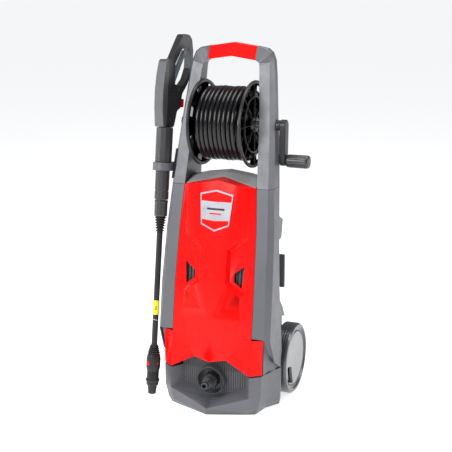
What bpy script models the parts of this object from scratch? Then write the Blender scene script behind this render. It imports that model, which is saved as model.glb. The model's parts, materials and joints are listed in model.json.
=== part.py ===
"""Upright electric pressure washer with a hose reel, a spray gun in a side holder and two wheels.

Metres, +Z up, the front faces -Y. The origin is on the ground, on the machine's middle plane.
"""
import math

import bmesh
import bpy
from mathutils import Matrix, Vector
from mathutils.geometry import delaunay_2d_cdt

# ---------------------------------------------------------------- driving sizes
GAP = 0.0004              # clearance between pieces that rest on each other
RUN = 0.0005              # radial clearance of a turning fit
WALL = 0.0035             # wall of the moulded housings

HALF_WIDTH = 0.143        # widest half width of the columns
SEAM_Z = 0.540            # seam between the lower body and the handle frame
TOP_Z = 0.870             # top of the handle bar at its peak
PANEL_FOOT_Z = 0.193      # bottom edge of the columns' front face
BASE_TOP_Z = 0.100        # top of the base moulding
REAR_Y = 0.108            # rear plane of the housing

WHEEL_R = 0.089
WHEEL_Y = 0.139
WHEEL_PROUD = 0.012       # outer face of the wheels outside the columns
WHEEL_OUT_X = HALF_WIDTH + WHEEL_PROUD
WHEEL_W = 0.038
ARCH_CLEAR = 0.013        # room between a wheel and its arch
ARCH_FOOT = 0.0014        # the arch's front end above the base's top
AXLE_R = 0.006

REEL_Y = 0.076
REEL_Z = 0.682
FLANGE_R = 0.1025
FLANGE_T = 0.0045
REEL_LEFT_X = -0.0665     # outer face of the left flange
REEL_RIGHT_X = 0.0625     # outer face of the right flange
DRUM_R = 0.0675
HOSE_D = 0.0108
REEL_AXLE_R = 0.0075
CRANK_R = 0.082           # crank axis to grip axis
CRANK_GRIP_R = 0.0155
CRANK_GRIP_L = 0.056

LANCE_OUT = 0.006         # the stored lance's axis outside the columns' widest place
LANCE_X = -(HALF_WIDTH + LANCE_OUT)
LANCE_Y = 0.0148
HOLDER_Z = 0.578
LANCE_TILT = math.atan(0.15)
GUN_TURN = math.radians(71)
HOLDER_R = 0.0245         # outer radius of the holder's ring
HOLDER_WALL = 0.0045
HOLDER_H = 0.019
BARREL_R = 0.0172
LANCE_R = 0.0073
LANCE_LENGTH = 0.545      # from the holder down to the nozzle's tip

SHAFT_R = 0.006
MOTOR_Y = 0.043
MOTOR_R = 0.046
PISTON_R = 0.0055
PISTON_RING_R = 0.022

INLET_Z = 0.077           # height of the water inlet's axis
INLET_SHROUD_R = 0.034

# the columns, by height: front y, inset from HALF_WIDTH of the inner edge, of the front
# face's outer edge, of the side face and of the rear corner, and y of the side's rear edge
COLUMN = (
    (0.088, -0.0575, 0.0400, 0.0060, -0.0050, 0.0315, 0.0500),
    (0.193, -0.0436, 0.0413, 0.0095, 0.0000, 0.0315, 0.0500),
    (0.308, -0.0283, 0.0420, 0.0135, 0.0010, 0.0315, 0.0370),
    (0.440, -0.0050, 0.0455, 0.0175, 0.0060, 0.0315, 0.0450),
    (0.540, 0.0127, 0.0515, 0.0232, 0.0140, 0.0315, 0.0670),
    (0.640, 0.0360, 0.0570, 0.0300, 0.0215, 0.0327, 0.0840),
    (0.700, 0.0505, 0.0603, 0.0352, 0.0260, 0.0356, 0.0880),
    (0.800, 0.0742, 0.0698, 0.0440, 0.0355, 0.0379, 0.1060),
)
CHAMFER_Y = 0.014         # depth of the columns' front chamfer

COLOURS = {
    "red_plastic": ((0.80, 0.010, 0.008), 0.35, 0.0),
    "grey_plastic": ((0.17, 0.17, 0.19), 0.45, 0.0),
    "light_grey_plastic": ((0.36, 0.36, 0.37), 0.5, 0.0),
    "black_plastic": ((0.018, 0.018, 0.019), 0.4, 0.0),
    "rubber": ((0.02, 0.02, 0.02), 0.8, 0.0),
    "hose_black": ((0.012, 0.012, 0.013), 0.25, 0.0),
    "steel": ((0.55, 0.55, 0.56), 0.35, 1.0),
    "brass": ((0.75, 0.55, 0.25), 0.35, 1.0),
    "aluminium": ((0.70, 0.70, 0.72), 0.4, 1.0),
    "silver_badge": ((0.65, 0.66, 0.68), 0.3, 0.8),
    "trigger_grey": ((0.22, 0.28, 0.32), 0.4, 0.0),
}


# ---------------------------------------------------------------- helpers
def clear_scene():
    for item in list(bpy.data.objects):
        bpy.data.objects.remove(item, do_unlink=True)


def material(name):
    found = bpy.data.materials.get(name)
    if found:
        return found
    colour, roughness, metallic = COLOURS[name]
    made = bpy.data.materials.new(name)
    made.use_nodes = True
    shader = made.node_tree.nodes["Principled BSDF"]
    shader.inputs["Base Color"].default_value = (*colour, 1.0)
    shader.inputs["Roughness"].default_value = roughness
    shader.inputs["Metallic"].default_value = metallic
    return made


def empty(name, place=(0, 0, 0), turn=None, parent=None):
    made = bpy.data.objects.new(name, None)
    bpy.context.scene.collection.objects.link(made)
    made.matrix_world = Matrix.Translation(place) @ (turn or Matrix.Identity(4))
    if parent:
        made.parent = parent
        made.matrix_parent_inverse = parent.matrix_world.inverted()
    bpy.context.view_layer.update()
    return made


def finish(name, bm, finish_name, parent, smooth=30, guide=False):
    """Turn a bmesh into an object whose mesh is local to its parent empty."""
    bmesh.ops.recalc_face_normals(bm, faces=bm.faces)
    mesh = bpy.data.meshes.new(name)
    bm.to_mesh(mesh)
    bm.free()
    mesh.materials.append(material(finish_name))
    mesh.shade_smooth()
    mesh.set_sharp_from_angle(angle=math.radians(smooth))
    made = bpy.data.objects.new(name, mesh)
    bpy.context.scene.collection.objects.link(made)
    made.parent = parent
    if guide:
        made.hide_render = True
        made.display_type = "WIRE"
    return made


def lofted(loops):
    """Closed solid through loops of equal length, capped at both ends."""
    bm = bmesh.new()
    rings = [[bm.verts.new(point) for point in loop] for loop in loops]
    for lower, upper in zip(rings, rings[1:]):
        for i in range(len(lower)):
            j = (i + 1) % len(lower)
            bm.faces.new((lower[i], lower[j], upper[j], upper[i]))
    bm.faces.new(rings[0])
    bm.faces.new(rings[-1])
    return bm


def prism(outline, low, high, axis="x"):
    """Outline of (a, b) pairs pushed from low to high along an axis."""
    place = {"x": lambda a, b, h: (h, a, b), "y": lambda a, b, h: (a, h, b), "z": lambda a, b,
            h: (a, b, h)}[axis]
    return lofted([[place(a, b, low) for a, b in outline], [place(a, b, high) for a, b in outline]])


def turned(profile, axis="z", sides=32, centre=(0, 0, 0)):
    """Closed profile of (radius, height) pairs turned about an axis through centre."""
    place = {"x": lambda r, h, c, s: (h, r * c, r * s), "y": lambda r, h, c, s: (r * c, h, r * s),
             "z": lambda r, h, c, s: (r * c, r * s, h)}[axis]
    centre = Vector(centre)
    bm = bmesh.new()
    rings = []
    for radius, height in profile:
        if radius == 0:
            rings.append([bm.verts.new(centre + Vector(place(0, height, 1, 0)))])
            continue
        angles = [2 * math.pi * i / sides for i in range(sides)]
        rings.append([bm.verts.new(centre + Vector(place(radius, height, math.cos(a), math.sin(a))))
                      for a in angles])
    for first, second in zip(rings, rings[1:] + rings[:1]):
        for i in range(sides):
            j = (i + 1) % sides
            corners = [first[i % len(first)], first[j % len(first)], second[j % len(second)],
                    second[i % len(second)]]
            corners = list(dict.fromkeys(corners))
            if len(corners) > 2:
                bm.faces.new(corners)
    return bm


def disc(radius, low, high):
    """Profile of a plain cylinder."""
    return [(0, low), (radius, low), (radius, high), (0, high)]


def ring(inner, outer, low, high):
    """Profile of a plain tube."""
    return [(inner, low), (outer, low), (outer, high), (inner, high)]


def arc(centre, radius, start, end, steps):
    """Points of an arc in a plane, angles in degrees."""
    angles = [math.radians(start + (end - start) * i / steps) for i in range(steps + 1)]
    return [(centre[0] + radius * math.cos(a), centre[1] + radius * math.sin(a)) for a in angles]


def bevel(item, width, segments=2, angle=40):
    step = item.modifiers.new("bevel", "BEVEL")
    step.width = width
    step.segments = segments
    step.limit_method = "ANGLE"
    step.angle_limit = math.radians(angle)
    step.use_clamp_overlap = True


def boolean(item, other, operation="DIFFERENCE"):
    step = item.modifiers.new("boolean", "BOOLEAN")
    step.operation = operation
    step.solver = "EXACT"
    step.object = other


def cut(item, bm, name="cutter"):
    boolean(item, finish(item.name + "_" + name, bm, "steel", item.parent, guide=True))


def join(item, bm, name="lug"):
    boolean(item, finish(item.name + "_" + name, bm, "steel", item.parent, guide=True), "UNION")


def along(table, z, column):
    """Value of a table's column at height z, straight between its rows."""
    rows = list(zip(table, table[1:]))
    for low, high in rows:
        if z <= high[0] or (low, high) == rows[-1]:
            share = (z - low[0]) / (high[0] - low[0])
            return low[column] + share * (high[column] - low[column])


def front_y(z):
    return along(COLUMN, z, 1)


def inner_x(z):
    return HALF_WIDTH - along(COLUMN, z, 2)


def edge_x(z):
    return HALF_WIDTH - along(COLUMN, z, 3)


def side_x(z):
    return HALF_WIDTH - along(COLUMN, z, 4)


def rear_x(z):
    return HALF_WIDTH - along(COLUMN, z, 5)


def flank_y(z):
    return along(COLUMN, z, 6)


def mirrored(points, side):
    return [(side * x, y, z) for x, y, z in points]


# ---------------------------------------------------------------- base
BASE_PLAN = (
    # height, then the half outline from the front apex round to the rear
    (0.000, (0.000, -0.0778), (0.086, -0.0450), (0.1092, -0.0346), (0.1180, 0.0120), (0.1400, 0.0480)),
    (0.017, (0.000, -0.0807), (0.095, -0.0550), (0.1170, -0.0380), (0.1250, 0.0000), (0.1455, 0.0380)),
    (0.0485, (0.000, -0.0780), (0.1012, -0.0591), (0.1243, -0.0400), (0.1300, -0.0020), (0.1475, 0.0350)),
    (BASE_TOP_Z, (0.000, -0.0600), (0.1004, -0.0582), (0.1255, -0.0390), (0.1310, -0.0040), (0.1475, 0.0335)),
)
BASE_INNER_X = WHEEL_OUT_X - WHEEL_W - 0.0075    # the base is narrow between the wheels
BASE_REAR_Y = 0.186
BASE_FLOOR = 0.006
POCKET_BACK = (0.079, -0.0284, 0.0601)
POCKET_BACK_MIDDLE = (0.0, -0.0360, 0.0304)
POCKET_LIP = (0.1012, -0.0591, 0.0485)
POCKET_LIP_MIDDLE = (0.0, -0.0807, 0.0169)
FOOT_X, FOOT_Y, FOOT_R, FOOT_H = 0.078, 0.038, 0.012, 0.004


def base_loop(row):
    z, outline = row[0], row[1:]
    behind = outline[-1][1] + 0.0065
    right = list(outline) + [(outline[-1][0], behind), (BASE_INNER_X, behind), (BASE_INNER_X, BASE_REAR_Y)]
    left = [(-x, y) for x, y in reversed(right[1:])]
    return [(x, y, z) for x, y in right + left]


def pocket_cutter():
    """Room of the front pocket: a V-shaped floor that falls to the front, open above."""
    def fall(back, lip, y):
        share = (y - back[1]) / (lip[1] - back[1])
        return back[2] + share * (lip[2] - back[2])

    ahead = -0.12
    middle_front = (0.0, ahead, fall(POCKET_BACK_MIDDLE, POCKET_LIP_MIDDLE, ahead))
    corner_front = (POCKET_LIP[0], ahead, POCKET_LIP[2] - (POCKET_LIP[1] - ahead) * 0.3)
    half = [middle_front, corner_front, POCKET_LIP, POCKET_BACK, POCKET_BACK_MIDDLE]
    bm = bmesh.new()
    roof = BASE_TOP_Z + 0.02
    for side in (1, -1):
        low = [bm.verts.new(point) for point in mirrored(half, side)]
        lip_middle = bm.verts.new(POCKET_LIP_MIDDLE)
        high = [bm.verts.new((side * x, y, roof)) for x, y, _ in half]
        for i in range(4):
            bm.faces.new((low[i], low[i + 1], high[i + 1], high[i]))
        bm.faces.new((low[0], low[1], low[2], lip_middle))
        bm.faces.new((lip_middle, low[2], low[3], low[4]))
        bm.faces.new(high)
    bmesh.ops.remove_doubles(bm, verts=bm.verts, dist=1e-6)
    return bm


def make_shoulder(base, side, name):
    """Side wall of the base that rises behind the cover's wing up to the side panel's edge."""
    start = BASE_PLAN[-1][3][1] + 0.009
    plan = [(BASE_INNER_X + 0.0025, start), (0.1265, start), (0.1306, -0.0045), (0.1395, 0.0160),
            (0.1395, 0.0300),
            (BASE_INNER_X + 0.0025, 0.0300)]
    block = finish("shoulder_" + name, lofted([mirrored([(x, y, z) for x, y in plan], side)
                                               for z in (BASE_TOP_Z - 0.01, PANEL_FOOT_Z)]), "steel",
                                               base.parent,
                   guide=True)
    drop = 0.0025
    edge = [(-0.1, 0.0), (0.1, 0.0), (0.1, BASE_TOP_Z), (PANEL_TIP[0], BASE_TOP_Z), (-0.003, 0.1257 - drop),
            (-0.034, PANEL_FOOT_Z - drop), (-0.1, PANEL_FOOT_Z - drop)]
    under = finish("shoulder_edge_" + name, prism(edge, -0.2, 0.2, "x"), "steel", base.parent, guide=True)
    boolean(block, under, "INTERSECT")
    boolean(base, block, "UNION")


def make_base(root):
    base = finish("base_tray", lofted([base_loop(row) for row in BASE_PLAN]), "grey_plastic", root)
    cut(base, pocket_cutter(), "pocket")
    cavity_x = BASE_INNER_X - WALL
    cavity_front = POCKET_BACK[1] + 0.009
    cavity = [(-cavity_x, cavity_front), (cavity_x, cavity_front), (cavity_x, BASE_REAR_Y - WALL),
              (-cavity_x, BASE_REAR_Y - WALL)]
    cut(base, prism(cavity, BASE_FLOOR, BASE_TOP_Z + 0.02, "z"), "cavity")
    cut(base, turned(disc(AXLE_R + RUN, -HALF_WIDTH, HALF_WIDTH), "x", 24, (0, WHEEL_Y, WHEEL_R)),
            "axle_hole")
    cut(base, turned(disc(INLET_HOLE_R, -0.06, 0.0), "y", 24, (0, 0, INLET_Z)), "inlet_hole")
    for side in (1, -1):
        name = "left" if side < 0 else "right"
        make_shoulder(base, side, name)
        centre = (side * FOOT_X, FOOT_Y, 0)
        cut(base, turned(disc(FOOT_R, -0.01, FOOT_H), "z", 24, centre), "foot_pocket_" + name)
        foot = turned([(0, 0), (FOOT_R - GAP - 0.002, 0), (FOOT_R - GAP, 0.001), (FOOT_R - GAP, FOOT_H - GAP),
                       (0, FOOT_H - GAP)], "z", 24, centre)
        finish("foot_" + name, foot, "rubber", root)


INLET_HOLE_R = 0.0150


def make_inlet(root):
    """Shroud, coupling nut and plug-in nipple of the water inlet."""
    wall_y = POCKET_BACK_MIDDLE[1]
    shroud_front = wall_y - 0.020
    back = wall_y - GAP
    r = INLET_SHROUD_R
    shroud = [(INLET_HOLE_R, back), (r - 0.001, back), (r, shroud_front + 0.001), (r - 0.001, shroud_front),
              (r - 0.0035, shroud_front), (r - 0.0045, back - 0.006), (INLET_HOLE_R, back - 0.006)]
    finish("inlet_shroud", turned(shroud, "y", 28, (0, 0, INLET_Z)), "grey_plastic", root)
    spigot_back = 0.0000
    nut = [(0.0075, spigot_back), (INLET_HOLE_R - GAP, spigot_back), (INLET_HOLE_R - GAP, back - 0.0065),
           (0.0195, back - 0.0065), (0.0195, back - 0.018), (0.0165, back - 0.0215), (0.0075, back - 0.0215)]
    finish("inlet_nut", turned(nut, "y", 18, (0, 0, INLET_Z)), "black_plastic", root)
    nose = back - 0.022
    nipple = [(0.0, spigot_back + 0.0005), (0.0070, spigot_back + 0.0005), (0.0070, nose), (0.0125, nose),
              (0.0125, nose - 0.008), (0.0098, nose - 0.011), (0.0098, nose - 0.017), (0.0080, nose - 0.019),
              (0.0080, nose - 0.027), (0.0066, nose - 0.029), (0.0066, nose - 0.033), (0.0035, nose - 0.033),
              (0.0035, nose - 0.012), (0.0, nose - 0.012)]
    finish("inlet_nipple", turned(nipple, "y", 16, (0, 0, INLET_Z)), "black_plastic", root)


# ---------------------------------------------------------------- side panels and rear
PANEL_TIP = (0.037, BASE_TOP_Z + GAP)


def panel_loop(z, wall=0.0):
    """Section of a side panel with its front chamfer and its slanting rear flank, or of the hollow inside."""
    y = front_y(z) + wall
    xi, xe, xs = inner_x(z) - 8 * wall, edge_x(z) - 0.4 * wall, side_x(z) - wall
    front = y + CHAMFER_Y - 0.6 * wall
    flank, xr, rear = flank_y(z) - 0.3 * wall, rear_x(z) - wall, 0.205 + 4 * wall
    points = [(xi, y), (xe, y), (xs, front), (xs, flank), (xr, REAR_Y), (xr, rear), (xi, rear)]
    return [(x, y, z) for x, y in points]


def panel_side_outline():
    """What is left of the panel in side view, from the top down the rear and along the arch."""
    arch_r = WHEEL_R + ARCH_CLEAR
    rear = [(-0.2, SEAM_Z + 0.01), (REAR_Y, SEAM_Z + 0.01), (REAR_Y, 0.262), (0.132, 0.240), (0.156, 0.214)]
    foot_angle = 180 - math.degrees(math.asin((BASE_TOP_Z + ARCH_FOOT - WHEEL_R) / arch_r))
    arch = arc((WHEEL_Y, WHEEL_R), arch_r, 70, foot_angle, 10)
    low = [PANEL_TIP, (-0.003, 0.1257), (-0.034, PANEL_FOOT_Z), (-0.2, PANEL_FOOT_Z)]
    return rear + arch + low


def panel_solid(side, wall, levels):
    bm = lofted([panel_loop(z, wall) for z in levels])
    bmesh.ops.triangulate(bm, faces=[f for f in bm.faces if len(f.verts) == 4])
    if side < 0:
        bmesh.ops.scale(bm, vec=(-1, 1, 1), verts=bm.verts)
        bmesh.ops.reverse_faces(bm, faces=bm.faces)
    return bm


def make_side_panel(root, side):
    """Column shell, fender over the wheel and a lug on its rear flank."""
    name = "side_panel_left" if side < 0 else "side_panel_right"
    levels = [0.088, PANEL_FOOT_Z, 0.308, 0.440, SEAM_Z - GAP]
    panel = finish(name, panel_solid(side, 0.0, levels), "grey_plastic", root)
    levels = [0.080, PANEL_FOOT_Z, 0.308, 0.440, SEAM_Z + 0.02]
    cut(panel, panel_solid(side, WALL, levels), "hollow")
    keep = finish(name + "_outline", prism(panel_side_outline(), -0.2, 0.2, "x"), "steel", root, guide=True)
    boolean(panel, keep, "INTERSECT")
    lug = [(0.090, 0.461), (0.1010, 0.4600), (0.1270, 0.4475), (0.1170, 0.4030), (0.090, 0.399)]
    low, high = sorted((side * (rear_x(0.43) - 0.0020), side * (rear_x(0.43) + 0.0070)))
    join(panel, prism(lug, low, high, "x"))


def make_rear_housing(root):
    """Rear shell: a plate with two returns, deeper at the bottom over the axle."""
    wall = WALL

    def loop(z, rear, half, front):
        outer = [(-half, front), (-half, rear - 0.014), (-half + 0.014, rear), (half - 0.014, rear),
                 (half, rear - 0.014), (half, front)]
        inner = [(half - wall, front), (half - wall, rear - 0.014 - wall / 2), (half - 0.015, rear - wall),
                 (-half + 0.015, rear - wall), (-half + wall, rear - 0.014 - wall / 2), (-half + wall, front)]
        return [(x, y, z) for x, y in outer + inner]

    narrow = rear_x(0.3) - WALL - GAP
    loops = [loop(BASE_TOP_Z + GAP, BASE_REAR_Y - 0.006, narrow, 0.060),
             loop(0.190, BASE_REAR_Y - 0.010, narrow, 0.060),
             loop(0.245, REAR_Y, narrow, 0.060),
             loop(SEAM_Z - GAP, REAR_Y, narrow, 0.060)]
    housing = finish("rear_housing", lofted(loops), "grey_plastic", root)
    for row in range(6):
        z = 0.300 + 0.014 * row
        slot = prism([(-0.045, z), (0.045, z), (0.045, z + 0.006), (-0.045, z + 0.006)], 0.080, 0.140, "y")
        cut(housing, slot, "vent_%d" % row)
    cut(housing, turned(disc(KNOB_HOLE_R, 0.08, 0.14), "y", 24, (0, 0, KNOB_Z)), "switch_hole")
    cut(housing, turned(disc(GLAND_R + GAP, 0.08, 0.14), "y", 24, (GLAND_X, 0, KNOB_Z)), "gland_hole")
    cut(housing, turned(disc(HOOK_PIN_R + RUN, 0.08, 0.14), "y", 24, (HOOK_X, 0, HOOK_Z)), "hook_hole")
    cut(housing, turned(disc(AXLE_R + RUN, -HALF_WIDTH, HALF_WIDTH), "x", 24, (0, WHEEL_Y, WHEEL_R)),
            "axle_hole")


KNOB_Z = 0.455
KNOB_HOLE_R = 0.010
GLAND_X = -0.060
GLAND_R = 0.008
HOOK_X = 0.082
HOOK_REACH = 0.066
HOOK_Z = 0.335
HOOK_PIN_R = 0.005


def make_rear_fittings(root, knob_body, hook_body):
    face = REAR_Y
    box = prism([(-0.028, -0.026), (0.028, -0.026), (0.028, 0.026), (-0.028, 0.026)], 0.062, face - 0.008,
            "y")
    bmesh.ops.translate(box, vec=(0, 0, KNOB_Z), verts=box.verts)
    switch = finish("switch_box", box, "black_plastic", root)
    cut(switch, turned(disc(0.0035, 0.080, 0.11), "y", 16, (0, 0, KNOB_Z)), "stem_hole")
    knob = turned([(0, face - 0.018), (0.003, face - 0.018), (0.003, face - 0.0072),
            (KNOB_HOLE_R - RUN, face - 0.0072),
                   (KNOB_HOLE_R - RUN, face + 0.002), (0.021, face + 0.002), (0.019, face + 0.016),
                   (0, face + 0.016)],
                  "y", 32)
    bmesh.ops.translate(knob, vec=(0, -REAR_Y, 0), verts=knob.verts)
    knob_item = finish("power_knob", knob, "red_plastic", knob_body)
    pointer = prism([(-0.0035, -0.024), (0.0035, -0.024), (0.0035, 0.024), (-0.0035, 0.024)],
                    face - REAR_Y + 0.0035, face - REAR_Y + 0.021, "y")
    join(knob_item, pointer, "pointer")
    gland = turned([(0.0036, face - 0.014), (GLAND_R + 0.003, face - 0.014), (GLAND_R + 0.003, face - 0.0042),
                    (GLAND_R, face - 0.0042), (GLAND_R, face + 0.001), (GLAND_R + 0.003, face + 0.001),
                    (GLAND_R - 0.001, face + 0.006), (0.0058, face + 0.030), (0.0036, face + 0.030)],
                   "y", 14, (GLAND_X, 0, KNOB_Z))
    finish("cord_gland", gland, "rubber", root)
    start = face + 0.0015 - REAR_Y
    end = start + HOOK_REACH
    hook = finish("cable_hook", prism([(-0.011, -0.010), (0.011, -0.010), (0.011, 0.010), (-0.011, 0.010)],
                                      start, end - 0.002, "y"), "grey_plastic", hook_body)
    join(hook, prism([(-0.012, -0.074), (0.028, -0.074), (0.028, 0.0105), (-0.012, 0.0105)],
                     end - 0.0085, end, "y"), "plate")
    join(hook, turned(disc(HOOK_PIN_R, start - 0.012, start + 0.010), "y", 20), "pin")


# ---------------------------------------------------------------- front cover
COVER_GAP = 0.0008
COVER_WALL = 0.0030
CROWN = 0.0185            # how far the cover's middle stands before the columns
RECESS = 0.0015           # how far the window recess stands before them
WINDOW = ((0.0749, 0.3609), (0.0709, 0.3079), (0.0507, 0.3225), (0.0504, 0.3415))
SHIELD = ((0.0, 0.5361), (0.0416, 0.5257), (0.0352, 0.4540), (0.0, 0.4394))


def crown(x, z):
    """How far the raised middle stands before the columns' front at half width x."""
    peak = CROWN if z > 0.30 else CROWN - (0.30 - z) * 0.062
    return peak * (1 - (x / (inner_x(z) * 1.02)) ** 2)


def cover_points():
    """Named points of the cover's right half: domain x, domain z and the point in space."""
    def raised(x, z):
        return (x, z), (x, front_y(z) - crown(x, z), z)

    def low(x, z, proud=RECESS):
        return (x, z), (x, front_y(z) - proud, z)

    def side(z):
        return low(inner_x(z) - COVER_GAP, z, 0.0)

    points = {
        "top_mid": ((0, 0.557), (0, 0.0030, 0.557)),
        "top_emb": ((0.042, 0.5485), (0.042, front_y(0.5485) - crown(0.042, 0.54), 0.5485)),
        "top_edge": ((0.083, 0.5400), (0.083, front_y(0.538) - 0.003, 0.5400)),
        "roof_mid": ((0, 0.590), (0, 0.0370, 0.5600)),
        "roof_edge": ((0.0895, 0.5490), (inner_x(0.54) - COVER_GAP, 0.0130, 0.5415)),
        "side_a": side(0.440),
        "side_b": side(0.308),
        "side_c": side(PANEL_FOOT_Z + 0.0010),
        "up_mid": raised(0.0, 0.420),
        "up_emb": raised(0.042, 0.420),
        "up_out": raised(0.074, 0.428),
        "up_neck": raised(0.033, 0.401),
        "waist": raised(0.033, 0.318),
        "down_out": raised(0.070, 0.289),
        "down_edge": raised(0.074, 0.232),
        "down_tip": raised(0.052, 0.160),
        "mid_a": raised(0.0, 0.318),
        "mid_b": raised(0.0, 0.232),
        "low_up_out": low(0.080, 0.424),
        "low_neck": low(0.039, 0.393),
        "low_waist": low(0.039, 0.324),
        "low_down_out": low(0.077, 0.296),
        "low_down_edge": low(0.081, 0.232),
        "low_down_tip": low(0.059, 0.157),
        "arch": low(0.0408, 0.1347, 0.0035),
        "prow": raised(0.0, 0.1267),
        "tip": low(0.1004, 0.1035, 0.003),
        "tip_high": low(0.1010, 0.1885, 0.0),
        "wing_low": ((0.1265, 0.1035), (0.1265, -0.0385, 0.1035)),
        "wing_high": ((0.1275, 0.1885), (0.1275, front_y(0.19) + 0.0095, 0.1885)),
    }
    for i, (x, z) in enumerate(WINDOW):
        points["window_%d" % i] = low(x, z)
    return points


COVER_OUTLINE = ("top_mid", "top_emb", "top_edge", "roof_edge", "side_a", "side_b", "side_c", "tip_high",
                 "wing_high", "wing_low", "tip", "arch", "prow", "mid_b", "mid_a", "up_mid")
COVER_EDGES = (
    ("up_out", "top_edge"), ("up_emb", "top_emb"), ("up_out", "up_neck"), ("up_neck", "waist"),
    ("waist", "down_out"),
    ("down_out", "down_edge"), ("down_edge", "down_tip"), ("down_tip", "arch"), ("low_up_out", "top_edge"),
    ("low_up_out", "low_neck"), ("low_neck", "low_waist"), ("low_waist", "low_down_out"),
    ("low_down_out", "low_down_edge"), ("low_down_edge", "low_down_tip"), ("low_down_tip", "arch"),
    ("up_mid", "up_emb"), ("up_emb", "up_out"), ("tip", "tip_high"), ("window_0", "window_1"),
    ("window_1", "window_2"), ("window_2", "window_3"), ("window_3", "window_0"),
)


def inside(point, outline):
    """Whether a plane point is inside a closed outline."""
    hit = False
    for (x0, y0), (x1, y1) in zip(outline, outline[1:] + outline[:1]):
        if (y0 > point[1]) != (y1 > point[1]):
            if point[0] < x0 + (point[1] - y0) / (y1 - y0) * (x1 - x0):
                hit = not hit
    return hit


def make_front_cover(root):
    points = cover_points()
    names = list(points)
    flat = [Vector(points[name][0]) for name in names]
    order = list(COVER_OUTLINE)
    pairs = list(zip(order, order[1:] + order[:1])) + list(COVER_EDGES)
    edges = [(names.index(a), names.index(b)) for a, b in pairs]
    edges += [(names.index("top_mid"), names.index("roof_mid")),
            (names.index("roof_mid"), names.index("roof_edge"))]
    verts, _, faces, origin, _, _ = delaunay_2d_cdt(flat, edges, [], 0, 1e-7)
    outline = [points[name][0] for name in order]
    roof = [points[name][0] for name in ("top_mid", "roof_mid", "roof_edge", "top_edge", "top_emb")]
    window = [points["window_%d" % i][0] for i in range(4)]
    bm = bmesh.new()
    for side in (1, -1):
        made = []
        for found in origin:
            x, y, z = points[names[found[0]]][1]
            made.append(bm.verts.new((side * x, y, z)))
        for face in faces:
            middle = sum((verts[i] for i in face), Vector((0, 0))) / len(face)
            if (inside(middle, outline) or inside(middle, roof)) and not inside(middle, window):
                corners = [made[i] for i in face]
                bm.faces.new(corners if side > 0 else corners[::-1])
    bmesh.ops.remove_doubles(bm, verts=bm.verts, dist=1e-6)
    for vertex in [v for v in bm.verts if not v.link_faces]:
        bm.verts.remove(vertex)
    bmesh.ops.recalc_face_normals(bm, faces=bm.faces)
    bm.faces.ensure_lookup_table()
    if sum(face.normal.y * face.calc_area() for face in bm.faces) > 0:
        bmesh.ops.reverse_faces(bm, faces=bm.faces)
    mesh = bpy.data.meshes.new("front_cover")
    bm.to_mesh(mesh)
    bm.free()
    mesh.materials.append(material("red_plastic"))
    cover = bpy.data.objects.new("front_cover", mesh)
    bpy.context.scene.collection.objects.link(cover)
    cover.parent = root
    skin = cover.modifiers.new("wall", "SOLIDIFY")
    skin.thickness = COVER_WALL
    skin.offset = -1
    skin.use_even_offset = True


def make_emblem(root):
    """Plain shield plate laid on the raised part of the cover."""
    def sheet(lift):
        return [(x, front_y(z) - crown(x, z) - lift, z) for x, z in SHIELD]

    thick = 0.0016
    lift = 0.0012
    right_back, right_front = sheet(lift), sheet(lift + thick)
    back = right_back + mirrored(right_back[1:3], -1)[::-1]
    front = right_front + mirrored(right_front[1:3], -1)[::-1]
    bm = bmesh.new()
    low = [bm.verts.new(p) for p in back]
    high = [bm.verts.new(p) for p in front]
    count = len(low)
    for i in range(count):
        bm.faces.new((low[i], low[(i + 1) % count], high[(i + 1) % count], high[i]))
    for loop in (low, high):
        bm.faces.new((loop[0], loop[1], loop[2], loop[3]))
        bm.faces.new((loop[0], loop[3], loop[4], loop[5]))
    finish("emblem_plate", bm, "silver_badge", root)


def make_grille(root):
    """Ribbed plate behind the cover's windows, which lets the cooling air through."""
    low_z, high_z, half, pitch = 0.288, 0.378, 0.086, 0.0086
    behind, rib, plate = 0.0075, 0.004, 0.003

    def loop(z):
        y = front_y(z) + behind
        count = int(2 * half / pitch)
        first = -count * pitch / 2
        front = []
        for i in range(count):
            x = first + i * pitch
            front += [(x, y), (x + pitch * 0.45, y), (x + pitch * 0.45, y + rib), (x + pitch * 0.9, y + rib)]
        front += [(-first, y)]
        return [(x, y, z) for x, y in front + [(-first, y + rib + plate), (first, y + rib + plate)]]

    finish("air_grille", lofted([loop(low_z), loop(high_z)]), "black_plastic", root)


def make_top_cap(root):
    """Low ridged lid behind the cover's top edge."""
    edge = inner_x(SEAM_Z + 0.01) - 0.0025

    def loop(y, rise, drop):
        low, eave, shoulder, ridge = (SEAM_Z + up for up in (GAP, 0.013 + rise, 0.021 + rise, 0.028 + rise))
        outer = [(-edge, low), (-edge, eave), (-edge * 0.62, shoulder), (0, ridge), (edge * 0.62, shoulder),
                 (edge, eave), (edge, low)]
        inner = [(x * 0.965, z - drop) for x, z in reversed(outer[1:-1])]
        return [(x, y, z) for x, z in outer + [(edge * 0.965, low)] + inner + [(-edge * 0.965, low)]]

    loops = [loop(0.0385, -0.004, 0.003), loop(0.052, 0.002, 0.003), loop(0.088, 0.002, 0.003),
             loop(REAR_Y - 0.006, -0.006, 0.003)]
    cap = finish("top_cap", lofted(loops), "grey_plastic", root)
    low, eave, ridge = SEAM_Z + GAP, SEAM_Z + 0.0055, SEAM_Z + 0.0205
    rear_wall = prism([(-edge + 0.001, low), (edge - 0.001, low), (edge - 0.001, eave), (0, ridge),
                       (-edge + 0.001, eave)], REAR_Y - 0.0085, REAR_Y - 0.0065, "y")
    join(cap, rear_wall, "rear_wall")


# ---------------------------------------------------------------- handle frame
BAR_HALF = 0.0592         # half length of the straight grip stretch
BAR_RISE = 0.0085         # how much the bar's middle stands above its ends
BAR_H = 0.0312            # height of the bar
FRAME_REAR_Y = REAR_Y + 0.004
FLANK_END_Y = REAR_Y - 0.001
CORNER_Z = 0.828


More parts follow.
